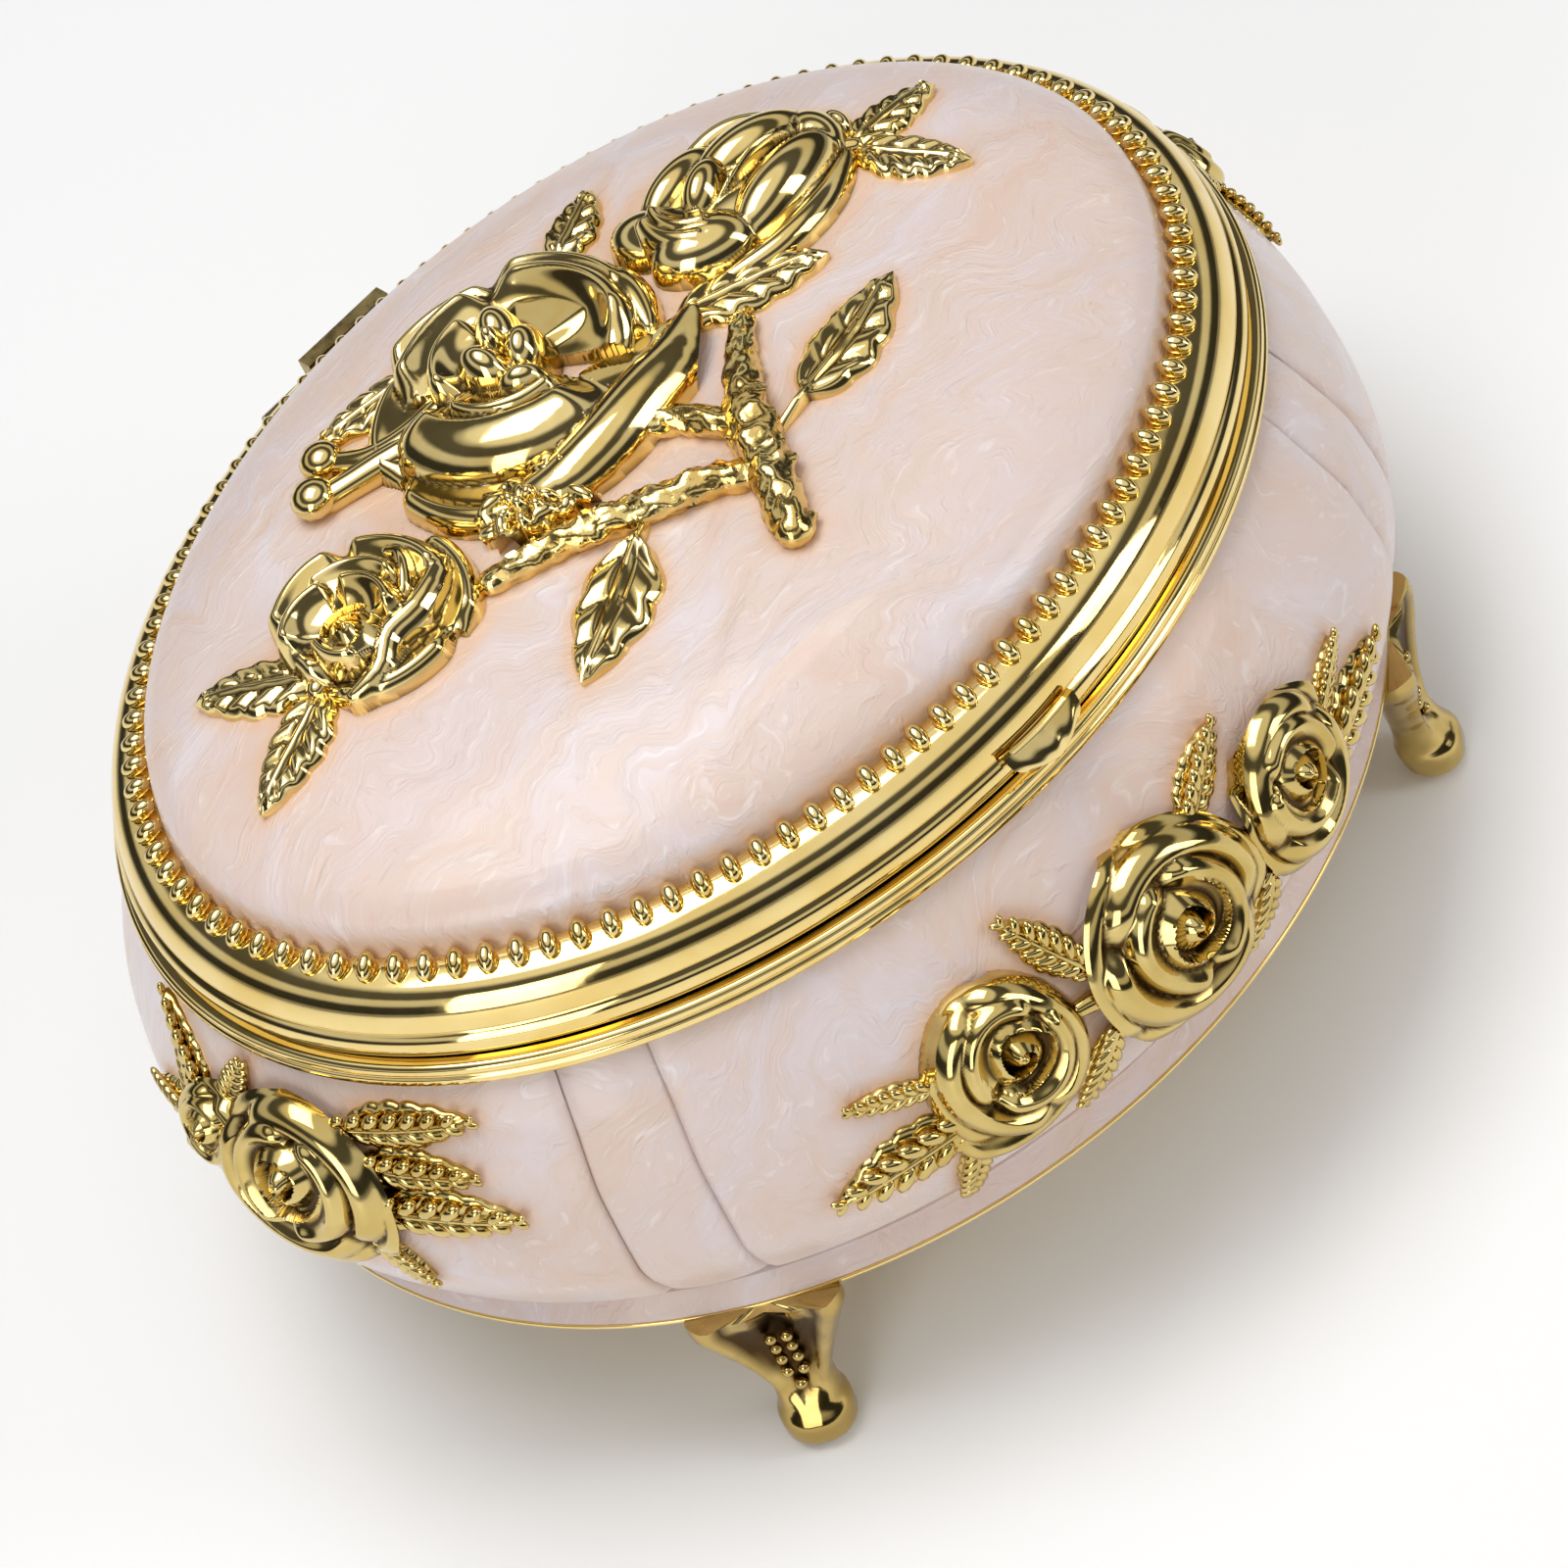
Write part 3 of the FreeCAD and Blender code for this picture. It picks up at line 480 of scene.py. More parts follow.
RIM = (54.6, 41.9)
rim_section = fillet_line([(-0.35, 47.9), (-0.02, 48.25), (0.0, 48.9), (-0.28, 49.12), (-0.16, 49.36),
                           (-0.2, 49.85), (-0.55, 50.1), (-3.6, 50.1), (-3.6, 47.9)], 0.14, 3)
base_rim = hoop_piece("base_rim_gilt", rim_section, *RIM, "base", gilt_band, slot="gilt", crease=34)
open_for_hinge(base_rim, 47.5, 50.3)
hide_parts("base_rim")

SKIRT = (56.1, 47.2)
edging_section = fillet_line([(0.1, 17.0), (0.14, 17.2), (0.1, 17.42), (-2.4, 17.4), (-2.4, 17.0)], 0.1)
hoop_piece("skirt_edging_gilt", edging_section, *SKIRT, "base", gilt_band, replaces=("skirt_edging",),
           slot="gilt")
hoop_piece("skirt_enamel_pearl", [(-1.0, 17.42), (-0.12, 17.42), (-0.02, 17.55), (-0.35, 18.0), (-0.9, 18.55),
                                  (-1.3, 19.0), (-1.45, 19.32), (-2.5, 19.32)],
           *SKIRT, "base", pearl, replaces=("skirt_enamel",), slot="pearl_enamel")


def enamel_dome():
    """Dome skin with a softly lipped edge, closed underneath."""
    clay = Clay()
    shares = [0.0025, 0.02] + [0.04 + 0.94 * k / 60 for k in range(61)] + [0.986, 0.991, 0.995, 0.998, 1.0]
    sides = 220

    def ring(share):
        row = []
        for k in range(sides):
            t = TAU * k / sides
            z = DOME_FOOT + DOME_RISE * dome_line(share)[0]
            row.append((share * COLLAR[0] * math.cos(t), share * COLLAR[1] * math.sin(t), z))
        return row

    rows = [ring(s) for s in shares]
    under = [[(x * 0.98, y * 0.98, z - 1.15) for x, y, z in ring(s)] for s in reversed(shares[::6])]
    clay.skin(rows + under, wrap=True, caps=True)
    return fire("lid_enamel_pearl", clay, "lid", pearl, replaces=("lid_enamel",), slot="pearl_enamel")


dome_skin = enamel_dome()


PANEL_FOOT, PANEL_TOP = 19.34, 47.86


def wall_panel(name, start, sweep, crown, replaces):
    """One field of enamel between its creases: slightly pillowed, its edges rolled in."""
    clay = Clay()
    across = max(24, int(sweep * 1.6))
    up = 64
    top, under = [], []
    for i in range(up + 1):
        v = i / up
        z = PANEL_FOOT + (PANEL_TOP - PANEL_FOOT) * v
        line, back = [], []
        for k in range(across + 1):
            u = k / across
            angle = start + sweep * u
            side = min(u, 1 - u) * sweep
            end = min(v, 1 - v) * 28.5
            roll = crown * (1 - math.exp(-side / 1.3)) + 0.30 * (1 - math.exp(-end / 0.8))
            sink = 0.34 * math.exp(-(side / 0.30) ** 2) if side < 2 else 0.0
            line.append(wall_point(angle, z, roll - crown - 0.30 - sink * (0.3 + 0.7 * min(1, end / 5))))
            back.append(wall_point(angle, z, -1.0))
        top.append(line)
        under.append(back)
    clay.plate(top, under)
    return fire(name, clay, "base", pearl, replaces=replaces, slot="pearl_enamel", crease=60)


HALF, GORE = 41.6, 9.0
panel_skins = [
    wall_panel("enamel_front_pearl", -HALF, 2 * HALF, 0.16, ("enamel_panel_front",)),
    wall_panel("enamel_back_pearl", 180 - HALF, 2 * HALF, 0.16, ("enamel_panel_back",)),
    wall_panel("enamel_right_pearl", HALF + GORE, 180 - 2 * (HALF + GORE), 0.16, ("enamel_panel_right",)),
    wall_panel("enamel_left_pearl", 180 + HALF + GORE, 180 - 2 * (HALF + GORE), 0.16, ("enamel_panel_left",)),
]
for corner, start in (("front_right", HALF), ("back_right", 180 - HALF - GORE),
                      ("back_left", 180 + HALF), ("front_left", -HALF - GORE)):
    panel_skins.append(wall_panel("enamel_%s_gore_pearl" % corner, start, GORE, 0.42,
                                  ("enamel_gore_" + corner,)))


# ------------------------------------------------------------------ petals, roses, leaves and boughs
def cup(cx, cy, reach, top, start, sweep, outer=2.0, dip=1.6, fall=0.9, wave=0.03):
    """Height of one curled petal: bulging outside, a rounded lip, a hollow within."""
    first, span = math.radians(start), math.radians(sweep)

    def height(x, y):
        dx, dy = x - cx, y - cy
        along = (math.atan2(dy, dx) - first) % TAU
        if along > span:
            return -1.0
        u = along / span
        e = min(1.0, u / 0.2, (1 - u) / 0.2)
        e = e * e * (3 - 2 * e)
        gap = math.hypot(dx, dy) - reach * (0.90 + 0.10 * e) * (1 + wave * math.sin(2.6 * along + reach))
        high = top * (0.5 + 0.5 * e)
        if gap > 0:
            return high * math.sqrt(1 - (gap / outer) ** 2) if gap < outer else -1.0
        return high - dip * (0.3 + 0.7 * e) * (1 - math.exp(gap / fall)) ** 1.6

    return height


def pillow(cx, cy, half_long, half_wide, heading, top):
    """Height of a smooth swelling."""
    c, s = math.cos(math.radians(heading)), math.sin(math.radians(heading))

    def height(x, y):
        a = (c * (x - cx) + s * (y - cy)) / half_long
        b = (-s * (x - cx) + c * (y - cy)) / half_wide
        d = a * a + b * b
        return top * (1 - d) ** 0.42 if d < 1 else -1.0

    return height


def whorl(cx, cy, reach, turns, top, low, dip, start=0.0, hand=1):
    """Height of a coiled heart: one lip winding out from the middle, each turn set below the last."""
    first = math.radians(start)

    def height(x, y):
        dx, dy = x - cx, y - cy
        r = math.hypot(dx, dy)
        if r > reach:
            return -1.0
        u = r / reach
        wave = 1 + 0.05 * math.sin(3 * math.atan2(dy, dx) + start)
        f = (turns * u ** 0.85 * wave - hand * (math.atan2(dy, dx) - first) / TAU) % 1.0
        body = top - (top - low) * u ** 1.3
        edge = min(1.0, f / 0.10)
        fall = f ** 1.3 if edge >= 1 else (1 - edge) * 0.8 + edge * f ** 1.3
        return body - dip * min(1.0, 0.35 + 2 * u) * fall

    return height


def fold(path, width, top):
    """Height of a rounded fold along a line."""
    line = [(p.x, p.y) for p in rounded([(x, y, 0) for x, y in path], 18)]
    legs = [(a, b, math.dist(a, b) ** 2) for a, b in zip(line, line[1:])]

    def height(x, y):
        near, u = 1e9, 0.0
        for n, (a, b, square) in enumerate(legs):
            t = min(1.0, max(0.0, ((x - a[0]) * (b[0] - a[0]) + (y - a[1]) * (b[1] - a[1])) / square))
            gap = math.hypot(x - a[0] - t * (b[0] - a[0]), y - a[1] - t * (b[1] - a[1]))
            if gap < near:
                near, u = gap, (n + t) / 17
        wide = width * (0.45 + 0.55 * math.sin(math.pi * u) ** 0.5)
        if near >= wide:
            return -1.0
        return top * (0.6 + 0.4 * math.sin(math.pi * u)) * math.sqrt(1 - (near / wide) ** 2)

    return height


def relief(clay, at, forms, reach, squash=1.0, rings=84, sides=176):
    """Casting without undercuts: the highest of its forms at every place, let into the surface."""
    rows = []
    for i in range(1, rings + 1):
        r = reach * (i / rings) ** 0.9
        row = []
        for k in range(sides):
            a = TAU * k / sides
            x, y = r * math.cos(a), r * math.sin(a) * squash
            row.append(at(x, y, max(-0.35, max(form(x, y) for form in forms))))
        rows.append(row)
    clay.skin(rows, wrap=True, caps=True)


def leaf(clay, at, start, heading, length, width, lobes=5, lift=0.7, stem=0.0, bend=0.0, puff=0.42):
    """Toothed leaf with a raised midrib and swelling lobes between its veins."""
    along, across = 56, 22
    top, under = [], []
    t = math.radians(heading)
    ux, uy = math.cos(t), math.sin(t)
    for i in range(along + 1):
        u = i / along
        tooth = 1 + 0.13 * abs(math.sin(lobes * math.pi * u)) - 0.06
        half = 0.5 * width * max(0.02, math.sin(math.pi * min(1, u ** 0.78)) ** 0.72) * tooth
        if stem and u < stem:
            half = max(0.34, 0.5 * width * 0.16)
        elif stem:
            w = (u - stem) / (1 - stem)
            half = 0.5 * width * max(0.03, math.sin(math.pi * w ** 0.78) ** 0.72) * tooth
            half += 0.25 * (1 - w) ** 6
        line, back = [], []
        for k in range(across + 1):
            v = -1 + 2 * k / across
            side = v * half
            s = u * length
            bow = bend * (u - u * u) * length
            slant = lobes * (u - 0.42 * abs(side) / length * 2.2) + 0.1
            swell = puff * abs(math.sin(math.pi * slant)) ** 0.6
            swell *= min(1, max(0, (abs(v) - 0.16) * 9)) * min(1, max(0, (0.90 - abs(v)) * 7))
            swell *= min(1, half / 1.2)
            rib = 0.50 * math.exp(-(side / 0.34) ** 4)
            bare = stem and u < stem
            h = lift * (1 - 0.55 * abs(v) ** 6) + (0 if bare else swell) + rib
            h *= 0.5 + 0.5 * min(1, 6 * u, 9 * (1 - u))
            x = start[0] + ux * s - uy * (side + bow)
            y = start[1] + uy * s + ux * (side + bow)
            line.append(at(x, y, h if abs(v) < 1 else 0.12))
            back.append(at(x, y, -0.35))
        top.append(line)
        under.append(back)
    clay.plate(top, under)


def bough(clay, at, path, radii, bark=0.0, knots=0.0, seed=0, sides=16, sink=0.25):
    """Round twig through (x, y) points of a chart, thick as the given radii, with bark if asked."""
    spread = sum(math.dist(a, b) for a, b in zip(path, path[1:]))
    count = max(10, int(spread / 0.35))
    line = rounded([(x, y, r) for (x, y), r in zip(path, radii)], count)
    rows = []
    for i, p in enumerate(line):
        ahead = line[min(i + 1, count - 1)] - line[max(i - 1, 0)]
        heading = Vector((ahead.x, ahead.y)).normalized()
        side = Vector((-heading.y, heading.x))
        row = []
        for k in range(sides):
            a = TAU * k / sides
            r = p.z
            spot = Vector((p.x * 0.9, p.y * 0.9, k * 0.9 + seed))
            knot = max(0.0, noise.noise(spot * 0.45 + Vector((7, 3, seed))))
            r *= 1 + bark * noise.noise(spot) + knots * knot
            row.append(at(p.x + side.x * r * math.cos(a), p.y + side.y * r * math.cos(a),
                          p.z * (0.75 - sink) + r * math.sin(a)))
        rows.append(row)
    for end in (0, -1):
        tip = line[end]
        near = line[1] if end == 0 else line[-2]
        way = Vector((tip.x - near.x, tip.y - near.y)).normalized()
        extra = []
        for share, push in ((0.86, 0.5), (0.5, 0.87), (0.12, 1.0)):
            middle = sum((Vector(v) for v in rows[end]), Vector()) / sides
            shift = at(tip.x + way.x * tip.z * push, tip.y + way.y * tip.z * push, 0) - at(tip.x, tip.y, 0)
            extra.append([middle + (Vector(v) - middle) * share + shift for v in rows[end]])
        rows = list(reversed(extra)) + rows if end == 0 else rows + extra
    clay.skin(rows, wrap=True, caps=True)


def blob_on(clay, at, x, y, lift, size):
    """Ellipsoid on a chart; size is (along x, along y, up)."""
    here = at(x, y, lift)
    ax = (at(x + 0.5, y, lift) - at(x - 0.5, y, lift)).normalized() * size[0]
    ay = (at(x, y + 0.5, lift) - at(x, y - 0.5, lift)).normalized() * size[1]
    up = ax.cross(ay).normalized() * size[2]
    clay.blob(here, (ax, ay, up))


# ------------------------------------------------------------------ lid ornament
def centre_rose():
    """Big open rose: a heart of buds, curled petals, one broad fold along its lower side."""
    clay = Clay()
    relief(clay, on_dome(-2.3, 9.0), [
        pillow(2.3, 4.2, 3.0, 2.2, 62, 5.6), pillow(-1.2, 2.0, 2.9, 2.1, 100, 5.7),
        pillow(2.0, 0.6, 2.7, 1.9, 35, 5.3),
        pillow(-0.6, -1.9, 2.6, 1.7, 150, 4.9), pillow(0.8, 2.6, 1.5, 1.3, 40, 6.0),
        cup(1.0, 1.8, 5.6, 4.7, 70, 105, 1.6, 1.6), cup(0.8, 1.6, 6.0, 4.5, 165, 120, 1.3, 1.7),
        cup(0.6, 1.8, 7.6, 4.3, 150, 138, 4.2, 1.5), cup(2.0, 2.2, 8.4, 3.9, -55, 125, 1.8, 2.7, 1.0),
        cup(1.6, 2.2, 10.4, 3.3, -28, 92, 1.5, 1.4), cup(1.0, 2.0, 9.0, 3.9, 58, 82, 1.9, 2.0),
        cup(0.4, 1.4, 11.6, 2.6, 52, 62, 1.4, 1.2),
        fold([(12.6, -7.4), (8.6, -9.4), (4.0, -10.2), (-0.8, -10.8), (-5.1, -10.4), (-8.2, -8.8)],
             3.1, 3.6),
        fold([(11.6, 4.6), (11.8, -0.2), (9.8, -5.0)], 1.9, 3.0),
        cup(-0.6, 0.4, 11.4, 2.0, 102, 66, 1.3, 1.0), cup(-1.2, -0.6, 11.6, 2.2, 165, 72, 1.4, 1.2)],
        15.5, 0.93, rings=104, sides=220)
    return fire("lid_rose_centre_cast", clay, "lid", gilt, replaces=("lid_rose_centre",), slot="gilt",
                crease=52)


def left_rose():
    """Half-open rose with a coiled heart set low and petals folded over it."""
    clay = Clay()
    forms = [whorl(-3.6, -1.9, 2.9, 2.2, 4.6, 3.9, 0.9, 30, -1)]
    forms += [
        pillow(-3.6, -1.9, 0.8, 0.8, 0, 4.7), cup(-3.5, -1.4, 2.9, 4.4, 130, 130, 1.1, 1.3),
        cup(-3.3, -1.0, 4.5, 4.8, -52, 120, 1.6, 1.6), cup(-3.6, -0.8, 4.9, 4.7, 50, 105, 1.9, 1.7),
        cup(-2.8, -0.4, 5.9, 4.3, -20, 118, 1.4, 1.2), cup(-2.0, 0.2, 7.2, 3.8, 48, 92, 1.9, 1.2),
        cup(-1.6, 0.2, 8.0, 3.4, -34, 96, 1.7, 1.2),
        fold([(7.2, 1.2), (6.4, -2.6), (2.2, -4.4), (-1.4, -4.2), (-4.4, -5.8), (-7.8, -5.2)], 1.9, 3.3),
        fold([(4.6, 4.4), (5.2, 0.8), (3.2, -2.0), (0.6, -3.2)], 1.3, 3.7),
        cup(-0.4, -0.2, 8.2, 1.9, -168, 100, 1.1, 0.8), cup(0.2, -0.6, 8.4, 2.0, -72, 95, 1.2, 0.9),
        cup(-1.0, 0.0, 6.6, 2.8, 108, 88, 1.5, 1.2)]
    seat = on_dome(-24.5, 3.4)
    relief(clay, lambda x, y, h: seat(0.86 * x, 0.86 * y, h), forms, 10.4, 0.98)
    return fire("lid_rose_left_cast", clay, "lid", gilt, replaces=("lid_rose_left",), slot="gilt", crease=52)


def right_rose():
    """Closed rose seen from its side: long petals laid over each other."""
    clay = Clay()
    forms = [
        pillow(1.6, -0.2, 8.6, 6.6, 0, 3.3), pillow(2.8, -3.2, 6.8, 2.9, 10, 4.3),
        pillow(3.8, 1.9, 6.2, 2.9, -10, 4.7), pillow(-1.6, 1.2, 3.8, 2.1, 24, 4.9),
        pillow(-5.8, -2.4, 4.8, 3.1, -28, 3.9), pillow(-7.0, 2.8, 3.0, 3.9, 24, 3.3),
        pillow(-1.6, 5.0, 5.0, 2.2, 8, 3.7), pillow(8.4, -0.8, 2.4, 3.3, 0, 3.4),
        pillow(10.6, -1.2, 1.2, 1.8, 0, 2.4),
        cup(-3.2, 0.6, 3.6, 4.3, 125, 140, 1.3, 1.4), cup(-2.2, 0.4, 5.4, 3.9, 140, 100, 1.5, 1.3),
        fold([(8.6, -4.4), (3.8, -6.8), (-1.8, -7.5), (-7.0, -6.2)], 1.5, 2.1),
        fold([(9.2, 3.4), (5.0, 6.0), (0.2, 7.2)], 1.5, 2.9),
        fold([(8.2, -0.6), (3.0, -0.8), (-2.4, -1.0)], 0.7, 5.0)]
    relief(clay, on_dome(22.0, 8.8), forms, 12.4, 0.78)
    return fire("lid_rose_right_cast", clay, "lid", gilt, replaces=("lid_rose_right",), slot="gilt",
                crease=52)


def lid_leaves(name, leaves, boughs, replaces):
    """Loose leaves of the lid, with their stems."""
    clay = Clay()
    at = on_dome(0, 0)
    for item in leaves:
        leaf(clay, at, *item)
    for path, radii in boughs:
        bough(clay, at, path, radii)
    return fire(name, clay, "lid", gilt, replaces=replaces, slot="gilt", crease=60)


def branch():
    """Bark-covered stem with its two side boughs."""
    clay = Clay()
    at = on_dome(0, 0)
    bough(clay, at, [(12.0, -2.0), (8.5, -5.5), (4.6, -10.5), (1.8, -15.5), (-1.0, -20.3)],
          [1.0, 1.25, 1.9, 1.8, 1.5], bark=0.32, knots=0.35, seed=3, sides=22)
    bough(clay, at, [(-17.5, -2.8), (-12.5, -5.0), (-7.2, -8.2), (-1.5, -11.5), (2.2, -14.6)],
          [1.0, 1.3, 1.4, 1.3, 1.2], bark=0.32, knots=0.4, seed=11, sides=22)
    bough(clay, at, [(-7.5, -1.0), (-1.5, -2.6), (1.8, -5.0), (4.0, -9.8)],
          [1.6, 1.5, 1.2, 1.3], bark=0.32, knots=0.4, seed=19, sides=22)
    return fire("lid_branch_cast", clay, "lid", gilt_bark, replaces=("lid_branch",), slot="gilt", crease=70)


def branch_leaves():
    """Three leaves that grow from the branch."""
    clay = Clay()
    at = on_dome(0, 0)
    leaf(clay, at, (5.4, -12.2), 12, 17.6, 6.0, 5, 0.75, 0.22, -0.10)
    leaf(clay, at, (-6.2, -9.2), 205, 15.6, 6.6, 4, 0.75, 0.16, 0.06)
    leaf(clay, at, (9.0, 3.0), -24, 13.6, 5.6, 5, 0.9, 0.0, 0.1)
    return fire("lid_branch_leaves_cast", clay, "lid", gilt, slot="gilt", crease=60)


def buds():
    """Twin buds, each at the end of a short stem."""
    clay = Clay()
    at = on_dome(0, 0)
    bough(clay, at, [(-6.5, 13.5), (-10.5, 14.4), (-13.6, 16.2), (-15.6, 19.2)],
          [1.8, 1.5, 1.3, 1.2], sides=20)
    bough(clay, at, [(-10.0, 13.2), (-13.6, 14.8), (-16.4, 16.0), (-18.4, 16.8)],
          [1.4, 1.4, 1.3, 1.3], sides=20)
    blob_on(clay, at, -15.9, 19.9, 1.3, (1.9, 1.9, 1.5))
    blob_on(clay, at, -19.0, 17.3, 1.3, (2.0, 2.0, 1.6))
    return fire("lid_buds_cast", clay, "lid", gilt, replaces=("lid_buds",), slot="gilt", crease=70)


def florets():
    """Cluster of crumbs with two small five-petalled flowers."""
    clay = Clay()
    dice = random.Random(5)
    crumbs = 34
    forms = [pillow(dice.uniform(-4.6, 4.8), dice.uniform(-2.6, 2.6), dice.uniform(1.3, 2.3),
                    dice.uniform(0.6, 1.0), dice.uniform(0, 180), dice.uniform(1.5, 2.9))
             for n in range(crumbs)]
    forms.append(pillow(0, 0, 5.2, 3.2, 0, 1.1))
    for cx, cy, size in ((-1.9, -0.6, 1.9), (2.6, 0.8, 1.6)):
        forms.append(pillow(cx, cy, 0.5 * size, 0.5 * size, 0, 3.3))
        for k in range(5):
            a = TAU * k / 5 + cx
            forms.append(pillow(cx + 0.7 * size * math.cos(a), cy + 0.7 * size * math.sin(a),
                                0.55 * size, 0.42 * size, math.degrees(a), 2.9))
    relief(clay, on_dome(-9.6, -1.2, -18), forms, 5.8, 0.62, rings=56, sides=120)
    return fire("lid_florets_cast", clay, "lid", gilt, replaces=("lid_florets",), slot="gilt", crease=52)


ornaments = [
    centre_rose(), left_rose(), right_rose(), branch(), branch_leaves(), buds(), florets(),
    lid_leaves("lid_leaves_right_cast", [((31.2, 5.0), 1, 10.0, 4.4, 5, 0.7, 0.0, 0.06),
                                         ((31.4, 4.4), -66, 10.2, 4.8, 5, 0.7, 0.0, -0.06)],
               [([(29, 7.8), (30.4, 6.2), (31.9, 4.8)], [1.2, 1.0, 0.8])], ("lid_leaves_right",)),
    lid_leaves("lid_leaves_left_cast", [((-31.0, 3.6), 128, 11.2, 5.4, 5, 0.75, 0.0, -0.05),
                                        ((-31.6, 2.4), 196, 11.0, 5.2, 5, 0.75, 0.0, 0.05)],
               [([(-28, 4.6), (-32, 3.0)], [1.2, 0.9])], ("lid_leaves_left",)),
    lid_leaves("lid_leaves_centre_cast", [((9.6, 18.4), 26, 8.6, 4.8, 4, 0.8, 0.0, 0.0),
                                          ((-5.0, 20.2), 168, 10.2, 4.4, 4, 0.8, 0.0, 0.0)],
               [], ("lid_leaves_centre",)),
]

# ------------------------------------------------------------------ sprays on the bowl
SPRAY_FRONDS = []


def open_rose(clay, at, reach, high, turn, lean):
    """Full round rose: a coiled heart, two inner turns and broad outer petals."""
    r, lx, ly = reach, lean[0], lean[1]
    forms = [whorl(lx, ly, 0.50 * r, 2.1, high * 1.05, 0.84 * high, 0.24 * r, turn, 1 if turn < 100 else -1),
             pillow(lx, ly, 0.13 * r, 0.13 * r, 0, high * 1.06)]
    for n, (share, size, top, count, outer, dip) in enumerate((
            (0.85, 0.56, 0.90, 2, 1.5, 1.2), (0.50, 0.76, 0.74, 2, 2.0, 1.4),
            (0.05, 0.95, 0.44, 3, 1.5, 1.0))):
        for k in range(count):
            start = turn + 62 * n + 360 * k / count
            off = 0.06 * r * (1 if k % 2 else -1) * min(n, 2)
            forms.append(cup(lx * share + off, ly * share, size * r, high * top, start, 360 / count + 34,
                             outer * r / 7, dip * r / 7, 0.08 * r + 0.1))
    relief(clay, at, forms, reach * 1.18, 1.0, rings=64, sides=132)


def frond(angle, z, heading, length, width):
    """Midrib of a beaded fern leaf on the wall, as points, with its half width."""
    at = on_wall(angle, z)
    t = math.radians(heading)
    points = [at(math.cos(t) * length * k / 9, math.sin(t) * length * k / 9, 0.75) for k in range(10)]
    return points, width / 2


# angle, height, reach, relief, turn, lean of the heart
SIDE_ROSES = ((-17.0, 33.8, 6.6, 4.0, 200, (0.9, 1.9)), (-0.3, 33.4, 7.6, 4.4, 75, (0.1, 1.1)),
              (15.5, 32.8, 6.3, 4.0, 130, (-1.1, 2.0)))
# angle, height, heading, length, width
SIDE_FRONDS = ((5.0, 38.4, 28, 8.4, 3.6), (-7.9, 36.4, 119, 8.2, 3.4), (-22.4, 36.0, 165, 6.9, 1.9),
               (-21.0, 31.8, 187, 12.4, 5.2), (-21.6, 29.6, 250, 8.0, 2.4), (-8.6, 30.4, 230, 7.0, 2.6),
               (8.8, 29.6, 250, 7.4, 2.6), (19.0, 30.2, 5, 12.6, 4.8), (21.0, 34.0, 20, 6.4, 1.9))
SIDE_STEMS = (([(-10.5, 2.0), (-8, 1.6), (-6, 1.8)], [0.7, 0.9, 0.7]),
              ([(6.5, 1.6), (8.5, 1.8), (10, 1.4)], [0.7, 0.9, 0.7]))
END_ROSES = ((10.8, 37.6, 7.3, 4.2, 60, (0.4, 2.2)), (0.4, 39.0, 4.0, 3.2, 10, (-0.4, 0.8)))
END_FRONDS = ((16.5, 43.9, 6, 11.0, 4.0), (17.5, 41.0, -3, 9.8, 3.8), (18.0, 37.4, -3, 12.2, 4.8),
              (16.8, 34.0, -50, 6.0, 2.0), (-2.0, 40.4, 138, 9.8, 3.2), (-3.6, 38.0, 116, 6.4, 2.8),
              (0.8, 41.4, 66, 5.6, 2.6), (-3.0, 37.4, 185, 8.4, 3.4), (-1.0, 36.4, 216, 7.6, 2.8),
              (3.6, 35.6, 246, 6.6, 2.4))
END_STEMS = (([(-3, 6.0), (2, 6.6), (6, 6.2)], [0.9, 1.0, 0.9]),)


def spray(name, middle, roses, fronds, stems, replaces):
    """Roses, stems and the plates under the fern leaves of one side of the bowl."""
    clay = Clay()
    for angle, z, reach, high, turn, lean in roses:
        open_rose(clay, on_wall(middle + angle, z), reach, high, turn, lean)
    at = on_wall(middle, 32.0)
    for path, radii in stems:
        bough(clay, at, path, radii, sides=14)
    for angle, z, heading, length, width in fronds:
        points, half = frond(middle + angle, z, heading, length, width)
        leaf(clay, on_wall(middle + angle, z), (0, 0), heading, length, width * 1.05, 6, 0.5, puff=0.1)
        SPRAY_FRONDS.append((name, points, half))
    # The spray's darker gilding is painted shade.
    return fire(name, clay, "base", gilt_shaded, replaces=replaces, slot="gilt", crease=52)


for side, middle, roses, fronds, stems in (("front", 0, SIDE_ROSES, SIDE_FRONDS, SIDE_STEMS),
                                           ("back", 180, SIDE_ROSES, SIDE_FRONDS, SIDE_STEMS),
                                           ("left", 270, END_ROSES, END_FRONDS, END_STEMS),
                                           ("right", 90, END_ROSES, END_FRONDS, END_STEMS)):
    node = "rose_spray_" + side
    ornaments.append(spray(node + "_cast", middle, roses, fronds, stems, (node,)))


